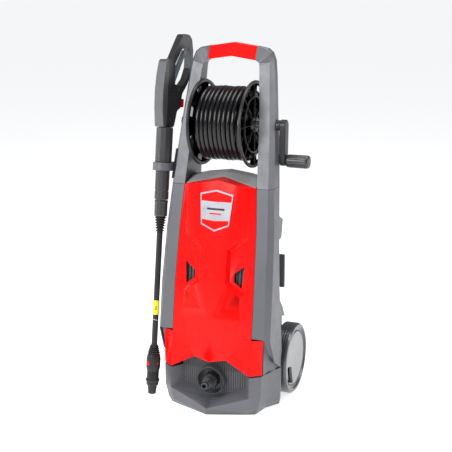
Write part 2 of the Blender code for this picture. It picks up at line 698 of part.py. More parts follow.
def frame_path():
    """Half of the handle frame: inner, front edge and outer points in x and z, then three depths."""
    posts = []
    for z in (SEAM_Z + GAP, 0.640, 0.700, 0.800 + (TOP_Z - 0.870)):
        posts.append(((inner_x(z), z), (edge_x(z), z), (side_x(z), z), front_y(z), front_y(z) + CHAMFER_Y,
                      flank_y(z), FRAME_REAR_Y))
    lift = TOP_Z - 0.870
    y_low, y_high = 0.0828, 0.0968
    out = HALF_WIDTH - 0.143
    corner = [
        ((0.0712 + out, 0.818 + lift), (0.0960 + out, 0.826 + lift), (0.1030 + out, 0.830 + lift),
         y_low - 0.003, y_low + 0.011, FLANK_END_Y, FRAME_REAR_Y),
        ((0.0695 + out, 0.8235 + lift), (0.0930 + out, 0.8445 + lift), (0.0965 + out, 0.8480 + lift),
         y_low - 0.001, y_high + 0.001, FLANK_END_Y, FRAME_REAR_Y),
        ((0.0665 + out, 0.8265 + lift), (0.0840 + out, 0.8545 + lift), (0.0850 + out, 0.8575 + lift),
         y_low, y_high + 0.004, FLANK_END_Y, FRAME_REAR_Y),
    ]
    end_low = TOP_Z - 0.0397
    bar = [
        ((BAR_HALF + GAP, end_low), (BAR_HALF + GAP, end_low + BAR_H - 0.001),
        (BAR_HALF + GAP, end_low + BAR_H + 0.001),
         y_low, y_high + 0.004, FLANK_END_Y, FRAME_REAR_Y),
    ]
    return posts + corner + bar


def frame_loop(station, side):
    (xi, zi), (xe, ze), (xs, zs), front, chamfer, flank, rear = station
    front_edge = front + (0.0 if abs(ze - zi) < 0.012 else (ze - zi) * 0.45)
    xr = min(xs, rear_x(zs)) if zs < CORNER_Z else xs
    points = [(xi, front, zi), (xe, front_edge, ze), (xs, max(chamfer, front_edge + 0.003), zs),
            (xs, flank, zs),
              (xr, rear, zs), (xi, rear, zi)]
    return mirrored(points, side)


def bar_loop(x, inset):
    """Section of the straight bar at x; inset shrinks it where the grip sleeve sits."""
    rise = BAR_RISE * (1 - abs(x) / BAR_HALF)
    low = TOP_Z - 0.0397 + rise
    high = low + BAR_H
    top = high + 0.0005 - inset
    return [(x, 0.0828 + inset, low + inset), (x, 0.0968 + inset * 0.6, high - 0.001 - inset),
            (x, 0.1008 + inset * 0.3, top), (x, FLANK_END_Y - 0.5 * inset, top),
            (x, FRAME_REAR_Y - inset, top),
            (x, FRAME_REAR_Y - inset, low + inset)]


GRIP_T = 0.0030


def make_handle_frame(root):
    path = frame_path()
    core = GRIP_T + GAP
    ends = BAR_HALF + GAP
    loops = [frame_loop(station, -1) for station in path]
    loops += [bar_loop(-ends + 0.0001, core), bar_loop(0.0, core), bar_loop(ends - 0.0001, core)]
    loops += [frame_loop(station, 1) for station in reversed(path)]
    frame = finish("handle_frame", lofted(loops), "grey_plastic", root)
    for side in (1, -1):
        name = "left" if side < 0 else "right"
        reach = side * (side_x(REEL_Z) + 0.02)
        low, high = sorted((0.0, reach))
        cut(frame, turned(disc(BUSH_R + GAP, low, high), "x", 28, (0, REEL_Y, REEL_Z)), "bush_hole_" + name)


def make_grip(root):
    """Red sleeve round the bar."""
    core = GRIP_T
    xs = (-BAR_HALF, 0.0, BAR_HALF)
    bm = bmesh.new()
    out = [[bm.verts.new(p) for p in bar_loop(x, 0.0)] for x in xs]
    bore = [[bm.verts.new(p) for p in bar_loop(x, core)] for x in xs]
    sides = len(out[0])
    for a, b in ((out[0], out[1]), (out[1], out[2]), (bore[0], bore[1]), (bore[1], bore[2]),
            (out[0], bore[0]),
                 (out[2], bore[2])):
        for i in range(sides):
            j = (i + 1) % sides
            bm.faces.new((a[i], a[j], b[j], b[i]))
    finish("handle_grip", bm, "red_plastic", root)


# ---------------------------------------------------------------- hose reel
BUSH_R = 0.0125


def make_reel_bushes(root):
    for side, name in ((-1, "reel_bush_left"), (1, "reel_bush_right")):
        outer = side_x(REEL_Z) + 0.0035
        bore = REEL_AXLE_R + RUN
        face = inner_x(REEL_Z + BUSH_R + 0.004) - 0.0008
        profile = [(bore, face - 0.004), (BUSH_R + 0.003, face - 0.004), (BUSH_R + 0.003, face),
                (BUSH_R, face),
                   (BUSH_R, outer), (bore, outer)]
        profile = [(r, side * x) for r, x in profile]
        finish(name, turned(profile, "x", 20, (0, REEL_Y, REEL_Z)), "black_plastic", root)


def make_flange(reel, name, low, high, dish):
    """Spoked flange: a rim, a web with openings and a hub."""
    web_low, web_high = (low, high)
    rim_r = FLANGE_R
    profile = [(REEL_AXLE_R + GAP, web_low), (rim_r - 0.006, web_low), (rim_r, web_low + dish),
            (rim_r, web_high + dish),
               (rim_r - 0.004, web_high + dish), (rim_r - 0.010, web_high), (REEL_AXLE_R + GAP, web_high)]
    flange = finish(name, turned(profile, "x", 32), "black_plastic", reel)
    for i in range(6):
        angle = 2 * math.pi * (i + 0.53) / 6
        span, inner, outer = 0.30, DRUM_R + 0.004, FLANGE_R - 0.016
        steps = [angle - span + span * k / 2 for k in range(5)]
        outline = [(outer * math.cos(a), outer * math.sin(a)) for a in steps]
        outline += [(inner * math.cos(a), inner * math.sin(a)) for a in reversed(steps)]
        cut(flange, prism(outline, min(low, high) - 0.02, max(low, high) + 0.02, "x"), "window_%d" % i)


def make_reel(reel, grip_body):
    """Drum, flanges, axle, wound hose and crank, local to the reel's axis."""
    left_in = REEL_LEFT_X + FLANGE_T
    right_in = REEL_RIGHT_X - FLANGE_T
    make_flange(reel, "reel_flange_left", REEL_LEFT_X, left_in, -0.003)
    make_flange(reel, "reel_flange_right", right_in, REEL_RIGHT_X, 0.003)
    drum = [(REEL_AXLE_R + GAP, left_in + GAP), (DRUM_R, left_in + GAP), (DRUM_R, right_in - GAP),
            (REEL_AXLE_R + GAP, right_in - GAP), (REEL_AXLE_R + GAP, right_in - 0.006),
            (DRUM_R - 0.004, right_in - 0.006), (DRUM_R - 0.004, left_in + 0.006),
            (REEL_AXLE_R + GAP, left_in + 0.006)]
    shell = finish("reel_drum", turned(drum, "x", 28), "black_plastic", reel)
    cut(shell, turned(disc(0.006, left_in, left_in + 0.03), "x", 16, (0, 0.035, 0)), "hose_pass")
    arm_in = side_x(REEL_Z - CRANK_R - 0.014) + 0.0020
    arm_out = arm_in + 0.0145
    axle_end = arm_out - 0.004
    axle = [(0.0035, -side_x(REEL_Z) + 0.002), (REEL_AXLE_R, -side_x(REEL_Z) + 0.002),
            (REEL_AXLE_R, axle_end),
            (0.0035, axle_end)]
    finish("reel_axle", turned(axle, "x", 24), "steel", reel)
    coil_low, coil_high = left_in + 0.0015, right_in - 0.0015
    coil_in, coil_out = DRUM_R + GAP, DRUM_R + 1.87 * HOSE_D
    coil = [(coil_in, coil_low), (coil_out - 0.003, coil_low), (coil_out, coil_low + 0.004),
            (coil_out, coil_high - 0.004),
            (coil_out - 0.003, coil_high), (coil_in, coil_high)]
    finish("hose_coil", turned(coil, "x", 28), "hose_black", reel)
    fitting = [(0, -0.019), (0.0050, -0.019), (0.0075, -0.017), (0.0075, -0.003), (0.0085, -0.002),
            (0.0085, 0.012),
               (0.0075, 0.013), (0.0045, 0.017), (0, 0.017)]
    finish("hose_fitting", turned(fitting, "z", 20, (-0.042, coil_out + 0.0090, 0)), "brass", reel)
    make_crank(reel, grip_body, arm_in, arm_out)


def make_crank(reel, grip_body, arm_in, arm_out):
    outline = arc((0, 0), 0.0145, 0, 180, 8) + arc((0, -CRANK_R), 0.0125, 180, 360, 8)
    arm = finish("crank_arm", prism(outline, arm_in, arm_out, "x"), "black_plastic", reel)
    bevel(arm, 0.0018, 1)
    boss = disc(0.0125, side_x(REEL_Z) + 0.0043, arm_in + 0.002)
    join(arm, turned(boss, "x", 20), "boss")
    cut(arm, turned(disc(REEL_AXLE_R + GAP, side_x(REEL_Z), arm_out - 0.0035), "x", 24), "bore")
    pin = disc(0.005, arm_out - 0.004, arm_out + CRANK_GRIP_L - 0.006)
    join(arm, turned(pin, "x", 20, (0, 0, -CRANK_R)), "pin")
    start = arm_out + GAP - 0.0001
    end = start + CRANK_GRIP_L
    r = CRANK_GRIP_R
    bore = 0.005 + RUN
    grip = [(bore, start + 0.0002), (r - 0.002, start + 0.0002), (r, start + 0.003),
            (r - 0.001, start + 0.016), (r, end - 0.012),
            (r - 0.001, end - 0.004), (r - 0.005, end), (0, end), (0, end - 0.004), (bore, end - 0.004)]
    finish("crank_grip", turned(grip, "x", 20), "black_plastic", grip_body)


# ---------------------------------------------------------------- wheels
def make_axle(root):
    reach = WHEEL_OUT_X - 0.011
    finish("axle", turned(disc(AXLE_R, -reach, reach), "x", 24, (0, WHEEL_Y, WHEEL_R)), "steel", root)


def make_wheel(body, side):
    """Ribbed plastic wheel with a raised rim and a snapped-in hub cap."""
    name = "left" if side < 0 else "right"
    inner, outer = WHEEL_OUT_X - WHEEL_W, WHEEL_OUT_X
    hub = 0.021
    bore = AXLE_R + RUN
    rim = WHEEL_R - 0.020
    hub_out = outer - 0.0085
    profile = [(bore, inner), (hub, inner), (hub, inner + 0.012), (rim, inner + 0.012), (rim, inner + 0.004),
               (WHEEL_R - 0.008, inner + 0.001), (WHEEL_R - 0.002, inner + 0.006), (WHEEL_R, inner + 0.012),
               (WHEEL_R, outer - 0.014), (WHEEL_R - 0.004, outer - 0.005), (WHEEL_R - 0.010, outer),
               (WHEEL_R - 0.014, outer - 0.001), (rim, outer - 0.006), (rim, inner + 0.016),
               (hub, inner + 0.016),
               (hub, hub_out - 0.006), (bore, hub_out - 0.006)]
    profile = [(r, side * x) for r, x in profile]
    finish("wheel_" + name, turned(profile, "x", 32), "grey_plastic", body)
    cap_r = rim - GAP
    cap = [(0, outer - 0.003), (cap_r * 0.45, outer - 0.0035), (cap_r * 0.9, outer - 0.006),
            (cap_r, outer - 0.0085),
           (cap_r, outer - 0.012), (cap_r - 0.003, outer - 0.012), (cap_r - 0.004, outer - 0.0095),
           (cap_r * 0.45, outer - 0.0065), (0, outer - 0.006)]
    cap = [(r, side * x) for r, x in cap]
    finish("hub_cap_" + name, turned(cap, "x", 28), "light_grey_plastic", body)


# ---------------------------------------------------------------- gun and lance
def make_holder(root):
    """Ring on a bracket, screwed to the left post."""
    turn = Matrix.Translation((LANCE_X, LANCE_Y, HOLDER_Z)) @ Matrix.Rotation(-LANCE_TILT, 4, "X")
    r_in = HOLDER_R - HOLDER_WALL
    profile = [(r_in, -HOLDER_H / 2), (HOLDER_R, -HOLDER_H / 2), (HOLDER_R, HOLDER_H / 2),
            (r_in + 0.0015, HOLDER_H / 2)]
    bm = turned(profile, "z", 32)
    bmesh.ops.transform(bm, matrix=turn, verts=bm.verts)
    holder = finish("gun_holder", bm, "grey_plastic", root)
    loops = []
    for z in (0.5480, 0.6180):
        x = -side_x(z) - GAP
        y0 = front_y(z) + CHAMFER_Y
        loops.append([(x - 0.0045, y0, z), (x, y0, z), (x, y0 + 0.022, z), (x - 0.0045, y0 + 0.022, z)])
    join(holder, lofted(loops), "plate")
    far = -side_x(HOLDER_Z) - 0.0025
    y0 = front_y(HOLDER_Z) + CHAMFER_Y
    middle = HOLDER_R - HOLDER_WALL / 2
    web = [(LANCE_X + middle * math.cos(a), LANCE_Y + middle * math.sin(a)) for a in (1.31, 0.96, 0.61)]
    web += [(far, y0 + 0.002), (far, y0 + 0.020), (far - 0.011, y0 + 0.014)]
    join(holder, prism(web, HOLDER_Z - 0.007, HOLDER_Z + 0.007, "z"), "web")


def make_gun(gun, trigger_body, safety_body):
    """Gun body, back shell and barrel sleeve; x towards the guard, z up the lance's axis."""
    body_outline = [(-0.0165, 0.0925), (0.0205, 0.0925), (0.0240, 0.1120), (0.0285, 0.1340), (0.0400, 0.1420),
                    (0.0425, 0.1680), (0.0440, 0.1760), (0.0600, 0.2000), (0.0760, 0.2340), (0.0755, 0.2810),
                    (0.0690, 0.3080), (0.0600, 0.3190), (0.0380, 0.3190), (0.0220, 0.2880), (0.0060, 0.2560),
                    (-0.0090, 0.2520), (-0.0090, 0.1020), (-0.0165, 0.0980)]
    body = finish("gun_body", prism(body_outline, -0.0105, 0.0105, "y"), "black_plastic", gun)
    bevel(body, 0.0045, 2, 35)
    finger = [(0.0140, 0.1960), (0.0400, 0.1940), (0.0560, 0.2120), (0.0660, 0.2400), (0.0660, 0.2760),
              (0.0580, 0.2920), (0.0360, 0.2820), (0.0150, 0.2450)]
    cut(body, prism(finger, -0.03, 0.03, "y"), "finger_gap")
    slot = [(0.0040, 0.1880), (0.0330, 0.1880), (0.0330, 0.2100), (0.0200, 0.2320), (0.0040, 0.2260)]
    cut(body, prism(slot, -0.0062, 0.0062, "y"), "trigger_slot")
    px, pz = SAFETY_AT
    half = SAFETY_H + RUN
    pocket = [(px - 0.0165, pz - half), (px + 0.03, pz - half), (px + 0.03, pz + half),
            (px - 0.0165, pz + half)]
    cut(body, prism(pocket, -0.0050, 0.0050, "y"), "safety_slot")
    shell_outline = [(-0.0095, 0.1030), (-0.0095, 0.2515), (-0.0130, 0.2540), (-0.0180, 0.2480),
            (-0.0235, 0.2200),
                     (-0.0265, 0.1800), (-0.0255, 0.1400), (-0.0215, 0.1000), (-0.0205, 0.0940),
                     (-0.0170, 0.0940),
                     (-0.0170, 0.0985)]
    shell = finish("gun_shell", prism(shell_outline, -0.0145, 0.0145, "y"), "light_grey_plastic", gun)
    bevel(shell, 0.0045, 2, 35)
    seat = HOLDER_H / 2 + GAP
    sleeve = [(0.0, 0.0920), (0.0205, 0.0920), (0.0205, seat), (BARREL_R, seat), (BARREL_R, BARREL_END),
            (0.0, BARREL_END)]
    finish("gun_barrel", turned(sleeve, "z", 32), "black_plastic", gun)
    make_trigger(trigger_body)
    make_safety(safety_body)
    make_lance(gun)


TRIGGER_PIVOT = (0.0160, 0.2030)
SAFETY_H = 0.0105          # half height of the safety button
SAFETY_AT = (0.0410, 0.154)


def make_trigger(body):
    px, pz = TRIGGER_PIVOT
    outline = [(0.0110, 0.1970), (0.0200, 0.1950), (0.0290, 0.2150), (0.0420, 0.2450), (0.0540, 0.2710),
            (0.0550, 0.2800),
               (0.0505, 0.2815), (0.0350, 0.2520), (0.0210, 0.2250), (0.0120, 0.2100)]
    trigger = finish("trigger", prism([(a - px, b - pz) for a, b in outline], -0.0055, 0.0055, "y"),
            "trigger_grey",
                     body)
    bevel(trigger, 0.0012, 1, 50)


def make_safety(body):
    outline = [(-0.0120, -SAFETY_H), (0.0145, -SAFETY_H), (0.0165, -SAFETY_H + 0.003),
            (0.0165, SAFETY_H - 0.003),
               (0.0145, SAFETY_H), (-0.0120, SAFETY_H)]
    finish("safety_button", prism(outline, -0.0045, 0.0045, "y"), "red_plastic", body)


BARREL_END = -0.0800      # along the lance, from the holder
COLLAR_L = 0.0400
BOOT_L = 0.0385
NOZZLE_TOP = -0.435       # along the lance, from the holder
NOZZLE_TIP_TOP = -0.5020


def make_lance(gun):
    """Everything that hangs below the barrel, on the lance's axis."""
    start = BARREL_END - GAP
    end = start - COLLAR_L
    collar = [(0.0, start), (0.0158, start), (0.0164, start - 0.004), (0.0158, end + 0.0035), (0.0148, end),
            (0.0, end)]
    finish("lance_collar", turned(collar, "z", 28), "black_plastic", gun)
    boot_top = end - GAP
    bore = LANCE_R + GAP
    boot = [(bore, boot_top)]
    for i in range(5):
        z = boot_top - 0.0075 * i
        r = 0.0142 - 0.0010 * i
        boot += [(r, z), (r, z - 0.0045), (r - 0.0022, z - 0.0050), (r - 0.0022, z - 0.0070)]
    boot += [(0.0085, boot_top - BOOT_L), (bore, boot_top - BOOT_L)]
    finish("lance_boot", turned(boot, "z", 14), "rubber", gun)
    finish("lance_tube", turned(disc(LANCE_R, NOZZLE_TOP - 0.0005, end - GAP), "z", 20), "black_plastic", gun)
    top = NOZZLE_TOP - 0.001
    head = [(0.0, top), (0.0098, top), (0.0112, top - 0.004), (0.0106, top - 0.0055), (0.0124, top - 0.009),
            (0.0118, top - 0.0105), (0.0138, top - 0.014), (0.0130, top - 0.0155), (0.0152, top - 0.019),
            (0.0165, top - 0.024), (0.0182, top - 0.034), (0.0182, top - 0.052), (0.0165, top - 0.058),
            (0.0148, NOZZLE_TIP_TOP), (0.0, NOZZLE_TIP_TOP)]
    head_item = finish("nozzle_head", turned(head, "z", 22), "black_plastic", gun)
    cut(head_item, turned(disc(0.0050, -0.03, 0.0), "x", 20, (0, 0, BUTTON_Z)), "button_hole")


BUTTON_Z = NOZZLE_TOP - 0.044


def make_nozzle_tip(body):
    """Twist nozzle, local to the lance's axis."""
    top = NOZZLE_TIP_TOP - GAP
    end = -LANCE_LENGTH - 0.012
    tip = [(0.0, top), (0.0148, top), (0.0150, top - 0.016), (0.0172, top - 0.018), (0.0172, top - 0.0225),
           (0.0148, top - 0.028), (0.0138, top - 0.034), (0.0090, end), (0.0040, end), (0.0040, end + 0.012),
           (0.0, end + 0.012)]
    finish("nozzle_tip", turned(tip, "z", 22), "black_plastic", body)


def make_nozzle_button(body):
    button = [(0, -0.0042), (0.0046, -0.0042), (0.0046, 0.0008), (0.0038, 0.0016), (0, 0.0016)]
    finish("nozzle_button", turned([(r, -x) for r, x in button], "x", 20), "red_plastic", body)


# ---------------------------------------------------------------- motor and pump
PUMP_Z = (0.030, 0.098, 0.150, 0.206)     # head, block and swash housing heights
MOTOR_Z = (0.208, 0.340)


def make_drive(root, rotor_body):
    """Motor over an axial pump, on one upright shaft."""
    centre = (0, MOTOR_Y, 0)
    head_low, head_high, block_high, swash_high = PUMP_Z
    half = 0.040
    outline = [(-half, MOTOR_Y - 0.036), (half, MOTOR_Y - 0.036), (half, MOTOR_Y + 0.036),
            (-half, MOTOR_Y + 0.036)]
    head = finish("pump_head", prism(outline, head_low, head_high - GAP, "z"), "brass", root)
    bevel(head, 0.004, 1)
    block = finish("pump_block", turned(disc(0.042, head_high, block_high), "z", 32, centre), "aluminium",
            root)
    for i in range(3):
        angle = math.radians(90 + 120 * i)
        x, y = PISTON_RING_R * math.cos(angle), MOTOR_Y + PISTON_RING_R * math.sin(angle)
        cut(block, turned(disc(PISTON_R + GAP, head_high + 0.006, block_high + 0.01), "z", 16, (x, y, 0)),
                "bore_%d" % i)
        piston = turned(disc(PISTON_R, head_high + 0.010, block_high + 0.006), "z", 16, (x, y, 0))
        finish("piston_%d" % (i + 1), piston, "steel", root)
    low = block_high + GAP
    housing = [(0.0395, low), (0.0440, low), (0.0440, swash_high), (SHAFT_R + 0.008, swash_high),
               (SHAFT_R + 0.008, swash_high - 0.006), (0.0395, swash_high - 0.006)]
    finish("swash_housing", turned(housing, "z", 24, centre), "aluminium", root)
    stator = [(0.0285, MOTOR_Z[0] + 0.006), (0.0285, MOTOR_Z[1]), (MOTOR_R, MOTOR_Z[1]),
            (MOTOR_R, MOTOR_Z[0]),
              (SHAFT_R + 0.008, MOTOR_Z[0]), (SHAFT_R + 0.008, MOTOR_Z[0] + 0.006)]
    finish("motor_stator", turned(stator, "z", 24, centre), "steel", root)
    rotor_low, rotor_high = MOTOR_Z[0] + 0.012, MOTOR_Z[1] - 0.012
    top = MOTOR_Z[1] + 0.030
    rotor = [(0, block_high + 0.030), (SHAFT_R, block_high + 0.030), (SHAFT_R, rotor_low),
            (0.0270, rotor_low),
             (0.0270, rotor_high), (SHAFT_R, rotor_high), (SHAFT_R, top), (0, top)]
    finish("motor_rotor", turned(rotor, "z", 20), "steel", rotor_body)
    plate_mid = block_high + 0.020
    plate = finish("swash_plate", turned([(0, plate_mid - 0.010), (0.0330, plate_mid - 0.010),
            (0.0330, plate_mid + 0.008),
                                          (0, plate_mid + 0.0095)], "z", 32), "steel", rotor_body)
    tilt = turned(disc(0.08, -0.04, 0.0), "z", 16)
    bmesh.ops.transform(tilt, matrix=Matrix.Translation((0, 0,
            plate_mid - 0.004)) @ Matrix.Rotation(math.radians(8), 4, "X"),
                        verts=tilt.verts)
    cut(plate, tilt, "slope")
    fan = [(SHAFT_R + GAP, MOTOR_Z[1] + 0.008), (0.0400, MOTOR_Z[1] + 0.008), (0.0400, MOTOR_Z[1] + 0.010),
           (0.0140, MOTOR_Z[1] + 0.0105), (0.0140, MOTOR_Z[1] + 0.024), (SHAFT_R + GAP, MOTOR_Z[1] + 0.024)]
    fan_item = finish("cooling_fan", turned(fan, "z", 20), "black_plastic", rotor_body)
    for i in range(7):
        angle = 2 * math.pi * i / 7
        blade = prism([(0.0120, -0.0010), (0.0385, -0.0010), (0.0385, 0.0010), (0.0120, 0.0010)],
                      MOTOR_Z[1] + 0.0085, MOTOR_Z[1] + 0.023, "z")
        bmesh.ops.rotate(blade, cent=(0, 0, 0), matrix=Matrix.Rotation(angle, 3, "Z"), verts=blade.verts)
        join(fan_item, blade, "blade_%d" % i)
    capacitor = turned([(0, 0.385), (0.0180, 0.385), (0.0180, 0.465), (0.0160, 0.467), (0, 0.467)], "z", 28,
                       (0.055, 0.055, 0))
    finish("capacitor", capacitor, "aluminium", root)


# ---------------------------------------------------------------- assembly
def main():
    clear_scene()
    root = empty("chassis")
    make_base(root)
    make_inlet(root)
    for side in (-1, 1):
        make_side_panel(root, side)
    make_rear_housing(root)
    knob_body = empty("knob_axis", (0, REAR_Y, KNOB_Z), parent=root)
    hook_body = empty("hook_axis", (HOOK_X, REAR_Y, HOOK_Z), parent=root)
    make_rear_fittings(root, knob_body, hook_body)
    make_front_cover(root)
    make_emblem(root)
    make_grille(root)
    make_top_cap(root)
    make_handle_frame(root)
    make_grip(root)
    make_reel_bushes(root)
    reel = empty("reel_axis", (0, REEL_Y, REEL_Z), parent=root)
    grip_body = empty("crank_grip_axis", (0, REEL_Y, REEL_Z - CRANK_R), parent=reel)
    make_reel(reel, grip_body)
    make_axle(root)
    for side, name in ((-1, "left"), (1, "right")):
        make_wheel(empty("wheel_axis_" + name, (0, WHEEL_Y, WHEEL_R), parent=root), side)
    make_holder(root)
    stored = Matrix.Rotation(-LANCE_TILT, 4, "X") @ Matrix.Rotation(GUN_TURN, 4, "Z")
    gun = empty("gun_axis", (LANCE_X, LANCE_Y, HOLDER_Z), stored, root)
    frame = gun.matrix_world.copy()

    def on_gun(name, x, z):
        return empty(name, frame @ Vector((x, 0, z)), stored, gun)

    trigger_body = on_gun("trigger_axis", *TRIGGER_PIVOT)
    safety_body = on_gun("safety_axis", *SAFETY_AT)
    make_gun(gun, trigger_body, safety_body)
    make_nozzle_tip(empty("nozzle_axis", frame.translation, stored, gun))
    make_nozzle_button(on_gun("nozzle_button_axis", -0.0175, BUTTON_Z))
    make_drive(root, empty("rotor_axis", (0, MOTOR_Y, 0), parent=root))


main()
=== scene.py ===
"""Looks of an upright pressure washer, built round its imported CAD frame. Metres, +Z up, front towards -Y."""
import json
import math

import bmesh
import bpy
from mathutils import Matrix, Vector
from mathutils.bvhtree import BVHTree

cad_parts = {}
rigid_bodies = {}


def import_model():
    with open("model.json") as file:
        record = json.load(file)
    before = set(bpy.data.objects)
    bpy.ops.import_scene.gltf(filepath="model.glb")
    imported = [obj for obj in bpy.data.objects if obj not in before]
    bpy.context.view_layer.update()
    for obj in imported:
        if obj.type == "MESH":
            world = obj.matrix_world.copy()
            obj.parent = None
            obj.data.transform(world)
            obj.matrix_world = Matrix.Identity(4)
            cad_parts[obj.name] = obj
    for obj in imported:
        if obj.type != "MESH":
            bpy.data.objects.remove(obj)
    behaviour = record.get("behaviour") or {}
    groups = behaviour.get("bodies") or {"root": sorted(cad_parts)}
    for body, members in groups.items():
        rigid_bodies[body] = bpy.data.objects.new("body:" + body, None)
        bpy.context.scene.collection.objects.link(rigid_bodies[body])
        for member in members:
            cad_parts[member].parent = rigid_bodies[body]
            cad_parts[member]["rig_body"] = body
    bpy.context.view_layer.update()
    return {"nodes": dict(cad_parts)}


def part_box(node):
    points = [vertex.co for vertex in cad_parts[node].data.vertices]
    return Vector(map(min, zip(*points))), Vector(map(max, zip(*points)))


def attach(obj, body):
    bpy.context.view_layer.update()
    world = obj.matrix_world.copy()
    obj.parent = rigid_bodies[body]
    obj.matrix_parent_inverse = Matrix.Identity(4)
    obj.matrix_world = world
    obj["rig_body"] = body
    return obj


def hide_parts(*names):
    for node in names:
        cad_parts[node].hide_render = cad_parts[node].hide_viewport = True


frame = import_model()
NODES = frame["nodes"]

# ---------------------------------------------------------------- camera and light
CAMERA_AT = (0.8482, -2.0724, 0.9782)
CAMERA_AZIMUTH = math.radians(21.79)
CAMERA_ELEVATION = math.radians(13.34)
CAMERA_LENS, CAMERA_SENSOR = 77.6, 36.0
AMBIENT, BACKDROP, FLOOR_GLOW, FLOOR_HALF = 0.26, 1.0, 0.70, 200.0

# ---------------------------------------------------------------- places, as the CAD frame has them
TO_X = Matrix.Rotation(math.radians(90), 4, "Y")
TO_Y = Matrix.Rotation(math.radians(-90), 4, "X")

REEL = Vector((0.0, 0.076, 0.682))
FLANGE_R, FLANGE_THICKNESS = 0.1025, 0.0026
FLANGE_RIM_R = 0.0955                # inside of the thick rim
FLANGE_SIDES, FLANGE_WINDOWS = 96, 8
WINDOW_BANDS = (1, 4)                # rings of the flange that have windows
WINDOW_STEPS = (4, 5, 6, 7)          # open steps in each window's share of a ring
HOSE_D = 0.0108
HOSE_LAYERS = (0.0729, 0.08225)      # radii of the hose's centreline
HOSE_TURNS = 9.5                     # in each layer
HOSE_STEPS = 36                      # points in each turn
HOSE_START = math.radians(-40)       # where the winding begins
SLACK = 0.0014                       # how far the outer turns stand off the inner ones here and there
SLACK_TURNS = 1.37                   # turns between two such places
HOSE_LOW_X, HOSE_HIGH_X = -0.0546, 0.0506
TAIL_STEPS, TAIL_HANDLE = 10, 0.0175
FITTING_X, FITTING_OUT, FITTING_FOOT = -0.042, 0.0967, 0.016

WHEEL_Y, WHEEL_R, WHEEL_OUT_X, WHEEL_W = 0.139, 0.089, 0.155, 0.038
HUB_R = 0.0686
TREAD_GROOVES, GROOVE_DEPTH = 5, 0.0008

LANCE_AT, LANCE_SLOPE = (-0.149, 0.0148, 0.578), 0.15
LANCE_TURN = 71                      # degrees that the gun is turned about its own axis
LABEL_SIDE = 21.8                    # degrees from the front to the side that the label's mark is on
MARK_PAST_LABEL = 41                 # degrees on from there to the nozzle's red dot
LANCE_FRAME = (Matrix.Translation(LANCE_AT) @ Matrix.Rotation(-math.atan(LANCE_SLOPE), 4, "X")
               @ Matrix.Rotation(math.radians(LANCE_TURN), 4, "Z"))
BARREL_TURN = Matrix.Rotation(0.3, 4, "Z")
NOZZLE_BUTTON_AT = -0.4790           # along the lance

INLET = Vector((0.0, 0.0, 0.077))
SCREW_X, SCREW_ROWS, SCREW_FACE_Y = 0.082, (0.520, 0.415, 0.275), 0.108


# ---------------------------------------------------------------- materials
CLOUD_SCALE, GLOSS_SCALE = 14.0, 38.0
RELIEF_DEPTH = 0.0004
RAMP_ENDS = (0.32, 0.68)


def noise(tree, scale, detail=4.0, stretch=None):
    """Noise texture in the object's own metres."""
    where = tree.nodes.new("ShaderNodeTexCoord")
    grain = tree.nodes.new("ShaderNodeTexNoise")
    grain.inputs["Scale"].default_value = scale
    grain.inputs["Detail"].default_value = detail
    place = where.outputs["Object"]
    if stretch:
        mapping = tree.nodes.new("ShaderNodeMapping")
        mapping.inputs["Scale"].default_value = stretch
        tree.links.new(place, mapping.inputs["Vector"])
        place = mapping.outputs["Vector"]
    tree.links.new(place, grain.inputs["Vector"])
    return grain


def ramp(tree, source, low, high):
    """Spreads a noise between two colours or two values."""
    made = tree.nodes.new("ShaderNodeValToRGB")
    for element, position, colour in zip(made.color_ramp.elements, RAMP_ENDS, (low, high)):
        element.position = position
        element.color = colour
    tree.links.new(source.outputs["Fac"], made.inputs["Fac"])
    return made


def grey(value):
    """A value as a colour, for the ramps that carry values."""
    return (value, value, value, 1.0)


def shade(colour, factor):
    """A colour made lighter or darker, with its alpha."""
    return tuple(min(1.0, c * factor) for c in colour) + (1.0,)


def plastic(name, colour, rough=(0.36, 0.46), grain=900.0, bump=0.05, spread=0.08, metallic=0.0, coat=0.0,
            stretch=None, mirror=0.5):
    """Moulded plastic: cloudy colour and gloss, and a fine moulded grain."""
    made = bpy.data.materials.new(name)
    made.use_nodes = True
    tree = made.node_tree
    shader = tree.nodes["Principled BSDF"]
    cloud = ramp(tree, noise(tree, CLOUD_SCALE, 6.0, stretch), shade(colour, 1 - spread),
                 shade(colour, 1 + spread))
    tree.links.new(cloud.outputs["Color"], shader.inputs["Base Color"])
    gloss = ramp(tree, noise(tree, GLOSS_SCALE, 5.0, stretch), grey(rough[0]), grey(rough[1]))
    tree.links.new(gloss.outputs["Color"], shader.inputs["Roughness"])
    fine = noise(tree, grain, 3.0, stretch)
    relief = tree.nodes.new("ShaderNodeBump")
    relief.inputs["Strength"].default_value = bump
    relief.inputs["Distance"].default_value = RELIEF_DEPTH
    tree.links.new(fine.outputs["Fac"], relief.inputs["Height"])
    tree.links.new(relief.outputs["Normal"], shader.inputs["Normal"])
    shader.inputs["Metallic"].default_value = metallic
    shader.inputs["Specular IOR Level"].default_value = mirror
    if coat:
        shader.inputs["Coat Weight"].default_value = coat
        shader.inputs["Coat Roughness"].default_value = 0.08
    return made


